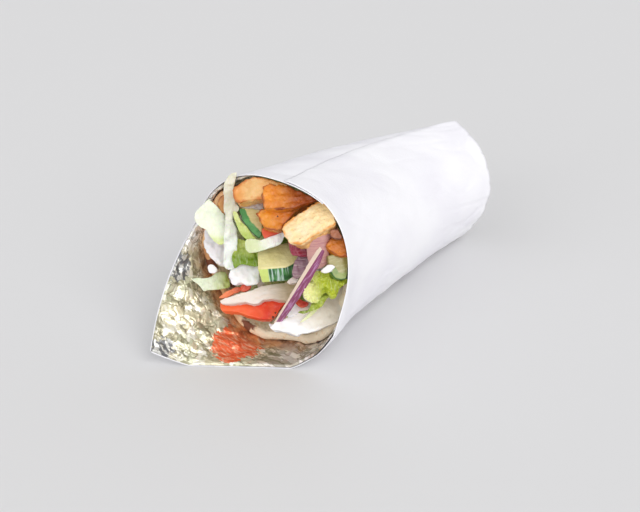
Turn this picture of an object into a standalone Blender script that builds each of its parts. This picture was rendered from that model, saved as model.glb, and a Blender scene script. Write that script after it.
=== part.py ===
"""A gyro wrap: a folded pita full of salad, fries and sauce, rolled in foil-lined paper.

The roll lies along Y with its open mouth at -Y and its folded tail at +Y, and rests on the flat strip
of paper under it. Shapes are worked out in millimetres and made in metres.
"""

import math
from collections import namedtuple

import bmesh
import bpy
from mathutils import Matrix, Vector, noise
from mathutils.bvhtree import BVHTree

MM = 0.001

# The roll: a slightly bowed cone of paper, taller than wide towards the tail.
MOUTH_Y = -51.0
TAIL_Y = 96.0
MOUTH_HALF_WIDTH = 46.4
MOUTH_HALF_HEIGHT = 45.0
WIDTH_TAPER = 0.144
HEIGHT_TAPER = 0.095
MIDDLE_X = -2.8
BOW_FROM_Y = 22.0
BOW = 0.0011
FLAT_SHARE = 0.965
TAIL_LEAN = 3.0
CREASE_HEIGHT = 0.35
MOUTH_BULGE = 0.085
BULGE_FROM_Y = -35.0
BULGE_TO_Y = 45.0

# The cut edge of the sheet at the mouth: one corner of the square sheet reaches out as a flap.
FLAP_ANGLE = 222.0
FLAP_LENGTH = 38.5
FLAP_TOP_SIDE = 66.0
FLAP_TOP_CURVE = 1.3
FLAP_FLOOR_SIDE = 76.0
FLAP_SHIFT_X = -6.5
FLAP_DROP_Z = -6.5
FLAP_BEND = 1.5
EDGE_WAVE = 3.5
EDGE_SLANT = 3.5

# Layers, from the outside in.
PAPER = 0.6
GAP = 0.4
FOIL = 0.4
PITA = 6.0
LINING_SET_BACK = 0.6
LAP_STEP = 0.8
LAP_LIFT = 2.0
LAP_ANGLE_MOUTH = 77.0
LAP_ANGLE_TAIL = 96.0

# How far the folds at the tail draw the section in, and how far past the tail's edge they reach.
TAIL_FOLDS = ((0.90, 1.0), (0.55, 0.8), (0.04, -1.5))

# The pita is folded round the filling and open along the top.
PITA_FROM = 130.0
PITA_TO = 362.0
PITA_FRONT_Y = -47.0
PITA_BACK_Y = 84.0
PITA_CLEARANCE = 0.3
PITA_WAVE = 3.0
PITA_NEAR_BACK = 6.0
PITA_NEAR_FROM = 300.0
PITA_ACROSS = 20
PITA_ALONG = 8

# The filling that the pita and the paper hold.
CORE_FRONT_Y = -39.0
CORE_RIM = 1.5
CORE_TOP_BACK = 14.0
CORE_TOP_FROM_Z = 56.0
CORE_TOP_TO_Z = 66.0
CORE_BACK_Y = 90.0
CORE_BUMP = 2.2
CORE_BESIDE = 3.0
CORE_LENGTHS = 7
CORE_CLEARANCE = 0.6

# The core's front face as rings drawn in towards its middle, and how far each stands ahead.
CORE_FACE = ((0.3, 2.5), (0.6, 2.0), (0.85, 1.0))

# How finely the sheets are cut into flat faces, and the room left between neighbouring pieces.
AROUND = 32
LENGTHWISE = 12
CLEARANCE = 0.32
CUT_TRIES = 6
NUDGE = (0.013, -0.009, 0.011)

Piece = namedtuple("Piece", "name finish shape middle run face")


def material(name, colour, roughness, metallic=0.0):
    made = bpy.data.materials.new(name)
    made.use_nodes = True
    shader = made.node_tree.nodes["Principled BSDF"]
    shader.inputs["Base Color"].default_value = (*colour, 1.0)
    shader.inputs["Roughness"].default_value = roughness
    shader.inputs["Metallic"].default_value = metallic
    return made


def clear_scene():
    for old in list(bpy.data.objects):
        bpy.data.objects.remove(old, do_unlink=True)


def add_object(name, bm, finish):
    """Makes a scene object from a bmesh whose points are in millimetres."""
    bmesh.ops.scale(bm, vec=Vector((MM, MM, MM)), verts=bm.verts)
    mesh = bpy.data.meshes.new(name)
    bm.to_mesh(mesh)
    bm.free()
    mesh.materials.append(finish)
    made = bpy.data.objects.new(name, mesh)
    bpy.context.scene.collection.objects.link(made)
    return made


def smooth_round_faces(made, sharp_degrees=35.0):
    made.data.shade_smooth()
    made.data.set_sharp_from_angle(angle=math.radians(sharp_degrees))


def ease(value, low, high):
    """0 below low, 1 above high, and an S curve between."""
    t = min(1.0, max(0.0, (value - low) / (high - low)))
    return t * t * (3.0 - 2.0 * t)


def wavy(x, y, z=0.0):
    """Smooth noise from -1 to 1."""
    return noise.noise(Vector((x, y, z)))


# The roll's section


def half_width(y):
    return MOUTH_HALF_WIDTH - WIDTH_TAPER * (y - MOUTH_Y)


def half_height(y):
    return MOUTH_HALF_HEIGHT - HEIGHT_TAPER * (y - MOUTH_Y)


def centre_x(y):
    return MIDDLE_X + BOW * (max(y, MOUTH_Y) - BOW_FROM_Y) ** 2


def near_side(degrees):
    """On the side at +X: 1 towards the top, -1 towards the floor, and 0 on the rest of the roll."""
    angle = math.radians(degrees)
    highest = 4.0 / (3.0 * math.sqrt(3.0))
    return math.sin(2.0 * angle) * max(0.0, math.cos(angle)) / highest


def roll_point(degrees, y, depth, share=1.0, raised=0.0):
    """A point of the roll's wall. 0 degrees is +X, 90 the top and 270 the floor.

    depth is how far the point lies under the paper's outer face, raised lifts it outwards again, and
    share draws the section in towards its middle.
    """
    angle = math.radians(degrees)
    height = half_height(y)
    inset = depth - raised
    bulge = 1.0 + MOUTH_BULGE * near_side(degrees) * (1.0 - ease(y, BULGE_FROM_Y, BULGE_TO_Y))
    across = (half_width(y) * bulge - inset) * share
    upward = (height * bulge - inset) * (CREASE_HEIGHT + (1.0 - CREASE_HEIGHT) * share)
    x = centre_x(y) + across * math.cos(angle)
    z = height * FLAT_SHARE + upward * math.sin(angle)
    beyond = (max(0.0, MOUTH_Y - y) / FLAP_LENGTH) ** FLAP_BEND
    x += FLAP_SHIFT_X * beyond
    z += FLAP_DROP_Z * beyond
    return Vector((x, y, max(z, depth)))


def angle_apart(a, b):
    return (a - b + 180.0) % 360.0 - 180.0


def mouth_edge(degrees):
    """Where the sheet is cut at the mouth: a shallow wave, and the sheet's corner as a pointed flap."""
    away = angle_apart(degrees, FLAP_ANGLE)
    if away < 0:
        flap = max(0.0, 1.0 + away / FLAP_TOP_SIDE) ** FLAP_TOP_CURVE
    else:
        flap = max(0.0, 1.0 - away / FLAP_FLOOR_SIDE)
    wave = EDGE_WAVE * math.cos(math.radians(degrees - 120.0)) + EDGE_SLANT * near_side(degrees)
    return MOUTH_Y + wave * (1.0 - flap) - FLAP_LENGTH * flap


# Wrapping sheets


def sheet_rings(depth, set_back, lap):
    """Rings of wall points from the mouth's cut edge to the tail, and on to the folds that close it.

    lap raises the free edge of the rolled sheet over the turn under it, as a step along the top.
    """
    rings = []
    for row in range(LENGTHWISE + 1):
        share = row / LENGTHWISE
        start = LAP_ANGLE_MOUTH + (LAP_ANGLE_TAIL - LAP_ANGLE_MOUTH) * share
        ring = []
        for step in range(AROUND + 1):
            turn = step / AROUND
            degrees = start - 360.0 * turn
            end = TAIL_Y - depth + TAIL_LEAN * math.sin(math.radians(degrees))
            front = mouth_edge(degrees) + set_back
            lifted = lap / LAP_STEP * LAP_LIFT * share**4 * max(0.0, 1.0 - 12.0 * turn)
            raised = lap * (1.0 - turn) + lifted
            ring.append(roll_point(degrees, front + (end - front) * share, depth, 1.0, raised))
        rings.append(ring)
    for share, push in TAIL_FOLDS:
        ring = []
        for step in range(AROUND + 1):
            turn = step / AROUND
            degrees = LAP_ANGLE_TAIL - 360.0 * turn
            end = TAIL_Y - depth + TAIL_LEAN * math.sin(math.radians(degrees)) * share + push
            ring.append(roll_point(degrees, end, depth, share, lap * (1.0 - turn)))
        rings.append(ring)
    return rings


def skin(bm, rows, lap):
    """Joins rings into a surface that is open at its first ring and closed at its last.

    With a lap, a ring's first and last points stay apart, and the quad between them is the step.
    """
    points = AROUND + 1 if lap else AROUND
    rings = [[bm.verts.new(p) for p in row[:points]] for row in rows]
    for low, high in zip(rings, rings[1:]):
        for i in range(points):
            j = (i + 1) % points
            bm.faces.new((low[i], low[j], high[j], high[i]))
    middle = bm.verts.new(sum((v.co for v in rings[-1]), Vector()) / points)
    for i in range(points):
        bm.faces.new((rings[-1][i], rings[-1][(i + 1) % points], middle))
    return rings[0]


def wrapping_sheet(name, finish, depth, thickness, set_back, lap):
    """A thin closed shell: the sheet's outer and inner faces, joined at the cut edge of the mouth."""
    bm = bmesh.new()
    outer, inner = [
        skin(bm, sheet_rings(face_depth, set_back, lap), lap > 0.0)
        for face_depth in (depth, depth + thickness)
    ]
    for i in range(len(outer)):
        j = (i + 1) % len(outer)
        bm.faces.new((outer[j], outer[i], inner[i], inner[j]))
    bmesh.ops.recalc_face_normals(bm, faces=bm.faces)
    made = add_object(name, bm, finish)
    smooth_round_faces(made)
    return made


# Bread and filling


def pita_grid(bm, inset, edge_inset):
    """One face of the flatbread as a grid of points. The outermost points lie at edge_inset."""
    grid = []
    for i in range(PITA_ALONG + 1):
        row = []
        for j in range(PITA_ACROSS + 1):
            degrees = PITA_FROM + (PITA_TO - PITA_FROM) * j / PITA_ACROSS
            front = PITA_FRONT_Y + PITA_WAVE * wavy(degrees / 40.0, 4.0)
            front += PITA_NEAR_BACK * ease(degrees, PITA_NEAR_FROM, PITA_TO)
            y = front + (PITA_BACK_Y - front) * i / PITA_ALONG
            on_edge = i in (0, PITA_ALONG) or j in (0, PITA_ACROSS)
            row.append(bm.verts.new(roll_point(degrees, y, edge_inset if on_edge else inset)))
        grid.append(row)
    for low, high in zip(grid, grid[1:]):
        for j in range(PITA_ACROSS):
            bm.faces.new((low[j], low[j + 1], high[j + 1], high[j]))
    return grid


def border(grid):
    """The points round the edge of a grid, in order."""
    last_column = [row[-1] for row in grid[1:-1]]
    first_column = [row[0] for row in grid[-2:0:-1]]
    return grid[0] + last_column + grid[-1][::-1] + first_column


def pita_bread(finish):
    """The flatbread, bent along the roll from high on the far side to half way up the near one."""
    depth = PAPER + FOIL + 2.0 * GAP + PITA_CLEARANCE
    bm = bmesh.new()
    outer = border(pita_grid(bm, depth, depth + 0.25 * PITA))
    inner = border(pita_grid(bm, depth + PITA, depth + 0.75 * PITA))
    for i in range(len(outer)):
        j = (i + 1) % len(outer)
        bm.faces.new((outer[i], outer[j], inner[j], inner[i]))
    bmesh.ops.recalc_face_normals(bm, faces=bm.faces)
    made = add_object("pita", bm, finish)
    smooth_round_faces(made)
    return made


def core_front(z):
    """Where the packed salad's front stands at a height: it is set back under the fries."""
    return CORE_FRONT_Y + CORE_TOP_BACK * ease(z, CORE_TOP_FROM_Z, CORE_TOP_TO_Z)


def core_section():
    """The filling's section, as angles with their depth: under the foil on top, inside the bread below."""
    under_foil = PAPER + FOIL + 2.0 * GAP + 2.0 * PITA_CLEARANCE
    inside_bread = under_foil + PITA + GAP
    top_from = PITA_TO + CORE_BESIDE
    top_to = PITA_FROM + 360.0 - CORE_BESIDE
    section = [(top_from + (top_to - top_from) * i / 8, under_foil) for i in range(9)]
    section += [(top_to + (top_from + 360.0 - top_to) * i / 14, inside_bread) for i in range(15)]
    return section


def salad_core(finish):
    """The packed salad behind the pieces that show, with an uneven front face."""
    section = core_section()
    around = len(section)
    bm = bmesh.new()
    rings = []
    for share, ahead in CORE_FACE:
        ring = []
        for degrees, depth in section:
            point = roll_point(degrees, CORE_FRONT_Y, depth, share)
            bump = CORE_BUMP * wavy(point.x / 9.0, point.z / 9.0)
            point.y = core_front(point.z) - ahead + bump
            ring.append(bm.verts.new(point))
        rings.append(ring)
    for i in range(CORE_LENGTHS + 1):
        ring = []
        for degrees, depth in section:
            front = core_front(roll_point(degrees, CORE_FRONT_Y, depth).z) + CORE_RIM
            y = front + (CORE_BACK_Y - front) * i / CORE_LENGTHS
            ring.append(bm.verts.new(roll_point(degrees, y, depth)))
        rings.append(ring)
    for low, high in zip(rings, rings[1:]):
        for j in range(around):
            k = (j + 1) % around
            bm.faces.new((low[j], low[k], high[k], high[j]))
    for ring in (rings[0], rings[-1]):
        middle = bm.verts.new(sum((v.co for v in ring), Vector()) / around)
        for j in range(around):
            bm.faces.new((ring[j], ring[(j + 1) % around], middle))
    bmesh.ops.recalc_face_normals(bm, faces=bm.faces)
    made = add_object("salad_core", bm, finish)
    smooth_round_faces(made)
    return made


# Shapes of the pieces: each is made round its own middle, with its length along X and its face up Z


def soften_edges(bm, offset, over_degrees=50.0):
    """Cuts a small flat along every sharp edge."""
    sharp = [e for e in bm.edges if e.calc_face_angle(0.0) > math.radians(over_degrees)]
    bmesh.ops.bevel(bm, geom=sharp, offset=offset, segments=1, affect="EDGES", profile=0.5, material=-1)


def bar(length, width, height, lengths):
    """A bar along X, cut into equal lengths."""
    bm = bmesh.new()
    bmesh.ops.create_cube(bm, size=1.0)
    bmesh.ops.scale(bm, vec=Vector((length, width, height)), verts=bm.verts)
    long_edges = [e for e in bm.edges if abs(e.verts[0].co.x - e.verts[1].co.x) > 0.5 * length]
    bmesh.ops.subdivide_edges(bm, edges=long_edges, cuts=lengths - 1, use_grid_fill=True)
    return bm


def fry_shape(length, width, height, bend, seed):
    """A cut fry or wedge: a bar with softened edges, a little bent and uneven."""
    bm = bar(length, width, height, 4)
    uneven = 0.07 * height
    for v in bm.verts:
        end = (2.0 * v.co.x / length) ** 2
        v.co.z += bend * (1.0 - end)
        v.co.y *= 1.0 - 0.12 * end
        x, y, z = v.co / 7.0
        v.co += uneven * Vector([wavy(x + seed + 9.0 * way, y, z) for way in range(3)])
    soften_edges(bm, 0.16 * min(width, height))
    return bm


def slice_shape(radius, sweep, thickness, steps, hollow=0.0):
    """A thick slice of a round vegetable, cut to a sector: its skin is the arc, round +X."""
    bm = bmesh.new()
    half = math.radians(sweep) / 2.0
    arc = [-half + 2.0 * half * i / steps for i in range(steps + 1)]
    outline = [Vector((radius * math.cos(a), radius * math.sin(a), 0.0)) for a in arc]
    if hollow > 0.0:
        outline += [Vector((hollow * math.cos(a), hollow * math.sin(a), 0.0)) for a in reversed(arc)]
    else:
        outline.append(Vector((0.0, 0.0, 0.0)))
    face = bm.faces.new([bm.verts.new(p) for p in outline])
    raised = bmesh.ops.extrude_face_region(bm, geom=[face])
    top = [v for v in raised["geom"] if isinstance(v, bmesh.types.BMVert)]
    bmesh.ops.translate(bm, vec=Vector((0.0, 0.0, thickness)), verts=top)
    middle = Vector((0.5 * (radius + hollow * math.cos(half)), 0.0, 0.5 * thickness))
    bmesh.ops.translate(bm, vec=-middle, verts=bm.verts)
    bmesh.ops.recalc_face_normals(bm, faces=bm.faces)
    soften_edges(bm, 0.09 * thickness, 60.0)
    return bm


def leaf_shape(length, width, thickness, ruffle, curl, seed, cells=(8, 5)):
    """A torn piece of lettuce: a rounded sheet with ruffled edges and a curl across its width."""
    bm = bmesh.new()
    bmesh.ops.create_grid(bm, x_segments=cells[0], y_segments=cells[1], size=1.0)
    for v in bm.verts:
        u, w = v.co.x, v.co.y
        narrow = math.sqrt(max(0.0, 1.0 - 0.8 * u * u)) * (1.0 + 0.22 * wavy(u * 2.1, seed, 3.0))
        x = 0.5 * length * (u + 0.08 * wavy(w * 2.0, seed, 7.0))
        y = 0.5 * width * w * narrow
        edge = abs(w) ** 1.5
        z = ruffle * edge * math.sin(5.5 * u + 1.3 * seed + 1.6 * w)
        z += 0.5 * ruffle * wavy(x / 9.0, y / 9.0, seed) + curl * (w * w - 0.4)
        v.co = Vector((x, y, z))
    bmesh.ops.triangulate(bm, faces=bm.faces)
    bmesh.ops.solidify(bm, geom=bm.faces, thickness=thickness)
    bmesh.ops.recalc_face_normals(bm, faces=bm.faces)
    return bm


def strip_shape(length, width, thickness, bend, taper, lengths=8):
    """A cut strip: a thin bar with its middle raised by bend, narrower at one end."""
    bm = bar(length, width, thickness, lengths)
    for v in bm.verts:
        u = 2.0 * v.co.x / length
        v.co.y *= 1.0 - taper * 0.5 * (1.0 + u)
        v.co.z += bend * (1.0 - u * u)
    soften_edges(bm, 0.18 * thickness)
    return bm


def dollop_shape(length, width, height, seed):
    """A spoonful of thick sauce, as an uneven rounded lump."""
    bm = bmesh.new()
    bmesh.ops.create_icosphere(bm, subdivisions=2, radius=0.5)
    for v in bm.verts:
        v.co *= 1.0 + 0.25 * wavy(v.co.x * 3.0 + seed, v.co.y * 3.0, v.co.z * 3.0)
        v.co = Vector((v.co.x * length, v.co.y * width, v.co.z * height))
    return bm


def lay(bm, middle, run, face):
    """Turns a piece so that its length and its face point the given ways, and moves it into place."""
    x = Vector(run).normalized()
    z = Vector(face)
    z = (z - x * z.dot(x)).normalized()
    y = z.cross(x)
    turn = Matrix((x, y, z)).transposed().to_4x4()
    bmesh.ops.transform(bm, matrix=Matrix.Translation(Vector(middle)) @ turn, verts=bm.verts)
    return bm


# Fitting pieces round each other


def room_for(source, rounded=True, by=CLEARANCE):
    """A helper body that is a little larger than a piece all round, to cut room for it.

    Small pieces get the simple outline that wraps them; the sheets keep their own shape.
    """
    bm = bmesh.new()
    if rounded:
        for v in source.data.vertices:
            bm.verts.new(v.co)
        bmesh.ops.convex_hull(bm, input=bm.verts)
        bmesh.ops.delete(bm, geom=[v for v in bm.verts if not v.link_faces], context="VERTS")
    else:
        bm.from_mesh(source.data)
    bmesh.ops.recalc_face_normals(bm, faces=bm.faces)
    bm.normal_update()
    moves = [(v, v.normal * by * MM * min(2.0, v.calc_shell_factor())) for v in bm.verts]
    for v, move in moves:
        v.co += move
    mesh = bpy.data.meshes.new(source.name + "_room")
    bm.to_mesh(mesh)
    bm.free()
    made = bpy.data.objects.new(mesh.name, mesh)
    made.hide_render = True
    made.display_type = "WIRE"
    bpy.context.scene.collection.objects.link(made)
    return made


def surface_tree(item):
    return BVHTree.FromPolygons([v.co for v in item.data.vertices], [p.vertices for p in item.data.polygons])


def separate_bodies(bm):
    """The faces of each connected body."""
    bodies = []
    for face in bm.faces:
        face.tag = False
    for start in bm.faces:
        if start.tag:
            continue
        start.tag = True
        todo = [start]
        body = []
        while todo:
            face = todo.pop()
            body.append(face)
            for edge in face.edges:
                for other in edge.link_faces:
                    if not other.tag:
                        other.tag = True
                        todo.append(other)
        bodies.append(body)
    return bodies


def keep_largest_body(mesh):
    """Drops loose scraps that a cut leaves. Gives the volume left, or 0 if it isn't a sound closed body."""
    bm = bmesh.new()
    bm.from_mesh(mesh)
    bodies = separate_bodies(bm)
    bodies.sort(key=lambda faces: sum(f.calc_area() for f in faces))
    scraps = [f for faces in bodies[:-1] for f in faces]
    if scraps:
        bmesh.ops.delete(bm, geom=scraps, context="FACES")
    sound = all(e.is_manifold for e in bm.edges) and all(v.is_manifold for v in bm.verts)
    volume = bm.calc_volume() if sound else 0.0
    bm.to_mesh(mesh)
    bm.free()
    return volume


def cut_away(piece, room):
    """The piece's mesh without the room, and the volume that is left of it."""
    cut = piece.modifiers.new("room", "BOOLEAN")
    cut.operation = "DIFFERENCE"
    cut.solver = "EXACT"
    cut.object = room
    graph = bpy.context.evaluated_depsgraph_get()
    mesh = bpy.data.meshes.new_from_object(piece.evaluated_get(graph))
    piece.modifiers.clear()
    return mesh, keep_largest_body(mesh)


def make_room(piece, rooms):
    """Cuts a piece back from everything it would press into, one neighbour at a time.

    Where faces that lie in one plane spoil a cut, it is made again with the room nudged a little.
    """
    finish = piece.data.materials[0]
    whole = keep_largest_body(piece.data)
    for room in rooms:
        if not surface_tree(piece).overlap(surface_tree(room)):
            continue
        for attempt in range(CUT_TRIES):
            room.location = attempt * MM * Vector(NUDGE)
            mesh, left = cut_away(piece, room)
            if 0.0 < left < whole:
                break
        room.location = (0.0, 0.0, 0.0)
        whole = left
        mesh.materials.clear()
        mesh.materials.append(finish)
        piece.data = mesh


def set_origin_under_middle():
    """Moves every piece so that the origin lies on the floor, under the middle of the whole."""
    corners = [Vector(v.co) for item in bpy.data.objects for v in item.data.vertices]
    low = [min(c[i] for c in corners) for i in range(3)]
    high = [max(c[i] for c in corners) for i in range(3)]
    shift = Vector((-0.5 * (low[0] + high[0]), -0.5 * (low[1] + high[1]), -low[2]))
    for item in bpy.data.objects:
        item.data.transform(Matrix.Translation(shift))


def main():
    clear_scene()

    white_paper = material("white_paper", (0.90, 0.90, 0.92), 0.75)
    foil = material("foil", (0.86, 0.85, 0.80), 0.25, 1.0)
    bread = material("bread", (0.80, 0.62, 0.42), 0.80)
    lettuce_pale = material("lettuce_pale", (0.80, 0.86, 0.66), 0.45)
    lettuce_green = material("lettuce_green", (0.45, 0.58, 0.14), 0.45)
    fried = material("fried_potato", (0.85, 0.52, 0.16), 0.50)
    cucumber = material("cucumber", (0.72, 0.76, 0.42), 0.35)
    tomato = material("tomato", (0.86, 0.22, 0.08), 0.30)
    onion = material("red_onion", (0.45, 0.16, 0.30), 0.35)
    cabbage = material("red_cabbage", (0.36, 0.03, 0.14), 0.35)
    chicken = material("chicken", (0.86, 0.76, 0.66), 0.50)
    sauce = material("sauce", (0.92, 0.91, 0.92), 0.35)

    paper = wrapping_sheet("paper_wrapper", white_paper, 0.0, PAPER, 0.0, LAP_STEP)
    lining = wrapping_sheet("foil_lining", foil, PAPER + GAP, FOIL, LINING_SET_BACK, 0.0)
    pita = pita_bread(bread)
    core = salad_core(lettuce_pale)

    # Fries and wedges along the top, under the paper's edge.
    fries = [
        Piece("fry_left", fried, fry_shape(34, 12, 10, 0.8, 1),
              middle=(4.5, -46.0, 79.5), run=(0.86, 0.50, 0.10), face=(0.1, -0.1, 1.0)),
        Piece("fry_orange", fried, fry_shape(18, 12, 8, 0.4, 4),
              middle=(8.5, -51.5, 70.5), run=(0.76, 0.62, 0.0), face=(0.0, -0.3, 1.0)),
        Piece("fry_brown", fried, fry_shape(36, 15, 10, -0.6, 2),
              middle=(16.0, -41.5, 76.5), run=(0.55, 0.83, 0.0), face=(0.0, -0.3, 1.0)),
        Piece("fry_big", fried, fry_shape(26, 14, 12, 0.5, 3),
              middle=(26.5, -48.0, 70.5), run=(0.72, 0.60, 0.34), face=(-0.3, -0.72, 0.62)),
        Piece("fry_right", fried, fry_shape(24, 11, 8.5, 0.0, 5),
              middle=(38.0, -39.5, 61.5), run=(-0.10, 0.98, -0.1), face=(0.3, 0.0, 1.0)),
    ]
    # Slices of vegetable and meat. A slice's run points to its skin.
    slices = [
        Piece("cucumber_front", cucumber, slice_shape(22, 64, 11, 7),
              middle=(10.5, -50.5, 48.5), run=(0.10, -0.86, -0.40), face=(0.0, -0.42, 0.90)),
        Piece("cucumber_left", cucumber, slice_shape(15, 130, 6, 8),
              middle=(-3.0, -50.0, 64.5), run=(-0.72, 0.05, -0.55), face=(-0.05, -0.92, 0.30)),
        Piece("cucumber_right", cucumber, slice_shape(17, 90, 6, 6),
              middle=(41.0, -45.0, 52.0), run=(0.35, -0.25, -0.90), face=(0.5, -0.8, 0.35)),
        Piece("tomato_front", tomato, slice_shape(46, 52, 8.5, 7, 25.0),
              middle=(-7.5, -47.5, 22.0), run=(0.1, -0.97, -0.2), face=(-0.20, -0.28, 0.94)),
        Piece("chicken_slice", chicken, strip_shape(54, 20, 7, 2.0, 0.2),
              middle=(-5.0, -45.5, 33.0), run=(0.92, 0.0, 0.34), face=(-0.3, -0.35, 0.88)),
        Piece("tomato_back", tomato, slice_shape(16, 90, 5, 6),
              middle=(6.5, -47.5, 60.5), run=(0.2, -0.9, 0.1), face=(-0.1, 0.1, 0.99)),
    ]
    # Strips, leaves and sauce that lie over the slices.
    toppings = [
        Piece("onion_strip", onion, strip_shape(54, 4.4, 2.8, 2.0, 0.15, 9),
              middle=(19.0, -58.0, 39.5), run=(0.57, -0.02, 0.82), face=(0.66, -0.66, -0.2)),
        Piece("rib_tall", lettuce_pale, leaf_shape(42, 7, 1.6, 0.9, 1.4, 1.0, (9, 4)),
              middle=(-14.5, -53.0, 63.5), run=(0.06, 0.10, 1.0), face=(0.2, -0.97, 0.1)),
        Piece("leaf_left", lettuce_pale, leaf_shape(22, 14, 1.2, 1.6, 1.2, 2.0, (7, 4)),
              middle=(-24.0, -52.5, 62.5), run=(0.66, 0.1, -0.62), face=(0.25, -0.9, 0.35)),
        Piece("sauce_left", sauce, dollop_shape(15, 12, 16, 1.0),
              middle=(-27.0, -47.5, 45.5), run=(1.0, 0.0, 0.0), face=(0.0, -0.2, 1.0)),
        Piece("sauce_mid", sauce, dollop_shape(18, 12, 11, 2.0),
              middle=(-13.0, -47.5, 39.0), run=(1.0, 0.0, 0.0), face=(0.0, -0.2, 1.0)),
        Piece("leaf_low", lettuce_pale, leaf_shape(27, 11, 1.2, 1.8, 0.8, 3.0, (7, 4)),
              middle=(-34.0, -54.5, 29.5), run=(0.97, 0.1, 0.1), face=(0.1, -0.8, 0.6)),
        Piece("leaf_mid", lettuce_green, leaf_shape(20, 15, 1.2, 2.0, 1.0, 4.0, (7, 4)),
              middle=(-9.5, -49.5, 50.0), run=(0.9, 0.1, -0.25), face=(0.1, -0.9, 0.4)),
        Piece("rib_curl", lettuce_pale, leaf_shape(25, 7, 1.5, 0.8, 2.0, 5.0, (7, 4)),
              middle=(1.5, -54.5, 57.5), run=(0.94, -0.05, 0.32), face=(0.1, -0.85, 0.5)),
        Piece("leaf_right", lettuce_green, leaf_shape(25, 14, 1.2, 2.6, 1.5, 6.0, (7, 4)),
              middle=(32.0, -50.5, 43.0), run=(0.8, 0.1, 0.45), face=(0.4, -0.8, 0.45)),
        Piece("shred_right", lettuce_pale, strip_shape(38, 4.0, 1.6, -4.0, 0.3, 8),
              middle=(25.5, -50.5, 29.5), run=(0.62, 0.0, 0.78), face=(0.7, -0.2, -0.7)),
        Piece("onion_layer", onion, leaf_shape(20, 13, 1.8, 0.8, 1.5, 7.0, (6, 4)),
              middle=(31.5, -46.5, 55.0), run=(0.4, 0.1, 0.9), face=(0.6, -0.75, 0.2)),
        Piece("cabbage_shred", cabbage, leaf_shape(14, 7, 1.6, 0.8, 1.0, 8.0, (6, 3)),
              middle=(19.0, -50.0, 55.5), run=(0.98, 0.1, 0.05), face=(0.2, -0.9, 0.3)),
        Piece("sauce_low", sauce, dollop_shape(36, 14, 8, 3.0),
              middle=(16.0, -44.5, 16.0), run=(0.93, 0.0, 0.36), face=(-0.3, -0.3, 0.9)),
    ]

    settled = [room_for(item, rounded=False) for item in (paper, lining, pita)]
    settled.append(room_for(core, rounded=False, by=CORE_CLEARANCE))
    for piece in fries + slices + toppings:
        made = add_object(piece.name, lay(piece.shape, piece.middle, piece.run, piece.face), piece.finish)
        make_room(made, settled)
        smooth_round_faces(made)
        settled.append(room_for(made))
    for room in settled:
        bpy.data.objects.remove(room, do_unlink=True)
    set_origin_under_middle()


main()
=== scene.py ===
"""A gyro wrap in foil-lined white paper, dressed for a picture: paper, crumpled foil, toasted pita and salad.

Sizes are in millimetres in the wrap's own drawing, and become metres in the model's frame as they are placed.
"""

import math

import bmesh
import bpy
import numpy as np
from mathutils import Matrix, Vector, noise


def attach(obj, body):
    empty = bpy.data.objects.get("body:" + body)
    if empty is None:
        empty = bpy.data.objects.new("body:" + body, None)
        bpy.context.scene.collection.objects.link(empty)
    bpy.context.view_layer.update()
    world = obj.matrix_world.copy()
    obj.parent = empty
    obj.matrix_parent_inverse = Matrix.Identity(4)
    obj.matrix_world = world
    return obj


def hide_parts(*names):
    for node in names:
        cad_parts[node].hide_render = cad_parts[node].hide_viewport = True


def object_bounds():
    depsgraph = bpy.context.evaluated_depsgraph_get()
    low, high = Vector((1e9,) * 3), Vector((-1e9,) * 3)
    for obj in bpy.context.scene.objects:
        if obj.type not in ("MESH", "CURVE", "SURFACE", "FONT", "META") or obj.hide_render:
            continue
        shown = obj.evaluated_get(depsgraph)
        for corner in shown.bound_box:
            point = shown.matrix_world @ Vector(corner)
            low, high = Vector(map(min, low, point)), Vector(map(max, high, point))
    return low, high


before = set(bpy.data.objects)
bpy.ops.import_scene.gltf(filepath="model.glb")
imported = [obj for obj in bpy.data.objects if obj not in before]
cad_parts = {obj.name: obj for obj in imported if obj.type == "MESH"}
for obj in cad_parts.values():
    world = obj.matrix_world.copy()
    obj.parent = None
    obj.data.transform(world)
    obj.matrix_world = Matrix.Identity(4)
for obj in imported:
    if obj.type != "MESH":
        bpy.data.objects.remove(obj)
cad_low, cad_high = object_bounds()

# Camera: a long lens about 73 cm away, a little over the wrap and to the right of its open mouth. It is
# rolled slightly, so that level lines rise a little to the right.
MM = 0.001
CAMERA_AT = Vector((392.16, -510.70, 340.40))
CAMERA_RIGHT = Vector((0.8024, 0.5916, -0.0783))
CAMERA_UP = Vector((-0.2043, 0.3957, 0.8954))
camera_data = bpy.data.cameras.new("camera")
camera_data.sensor_width = 36.0
camera_data.lens = 83.4
camera = bpy.data.objects.new("camera", camera_data)
bpy.context.scene.collection.objects.link(camera)
turned = Matrix((CAMERA_RIGHT, CAMERA_UP, CAMERA_RIGHT.cross(CAMERA_UP))).transposed().to_4x4()
camera.matrix_world = Matrix.Translation(CAMERA_AT * MM) @ turned
bpy.context.scene.camera = camera
bpy.context.scene.view_settings.view_transform = "Standard"


# Studio: a pale floor, three broad suns, and a room that is bright above, darker low down and dark in
# three places, so that the foil has something to mirror.
ROOM_STRENGTH = 0.72
FLOOR_HALF = 60.0
FLOOR_GAP = 0.0002


def tint(red, green, blue):
    """A colour given as screen values from 0 to 255."""
    parts = [part / 255.0 for part in (red, green, blue)]
    return (*[p / 12.92 if p <= 0.04045 else ((p + 0.055) / 1.055) ** 2.4 for p in parts], 1.0)


def add_node(tree, kind, *ins, **settings):
    """Adds a shader node. Each entry of ins is (input, value or socket), and settings are its properties."""
    made = tree.nodes.new(kind)
    for name, value in settings.items():
        setattr(made, name, value)
    for name, value in ins:
        if isinstance(value, bpy.types.NodeSocket):
            tree.links.new(value, made.inputs[name])
        else:
            made.inputs[name].default_value = value
    return made


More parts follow.
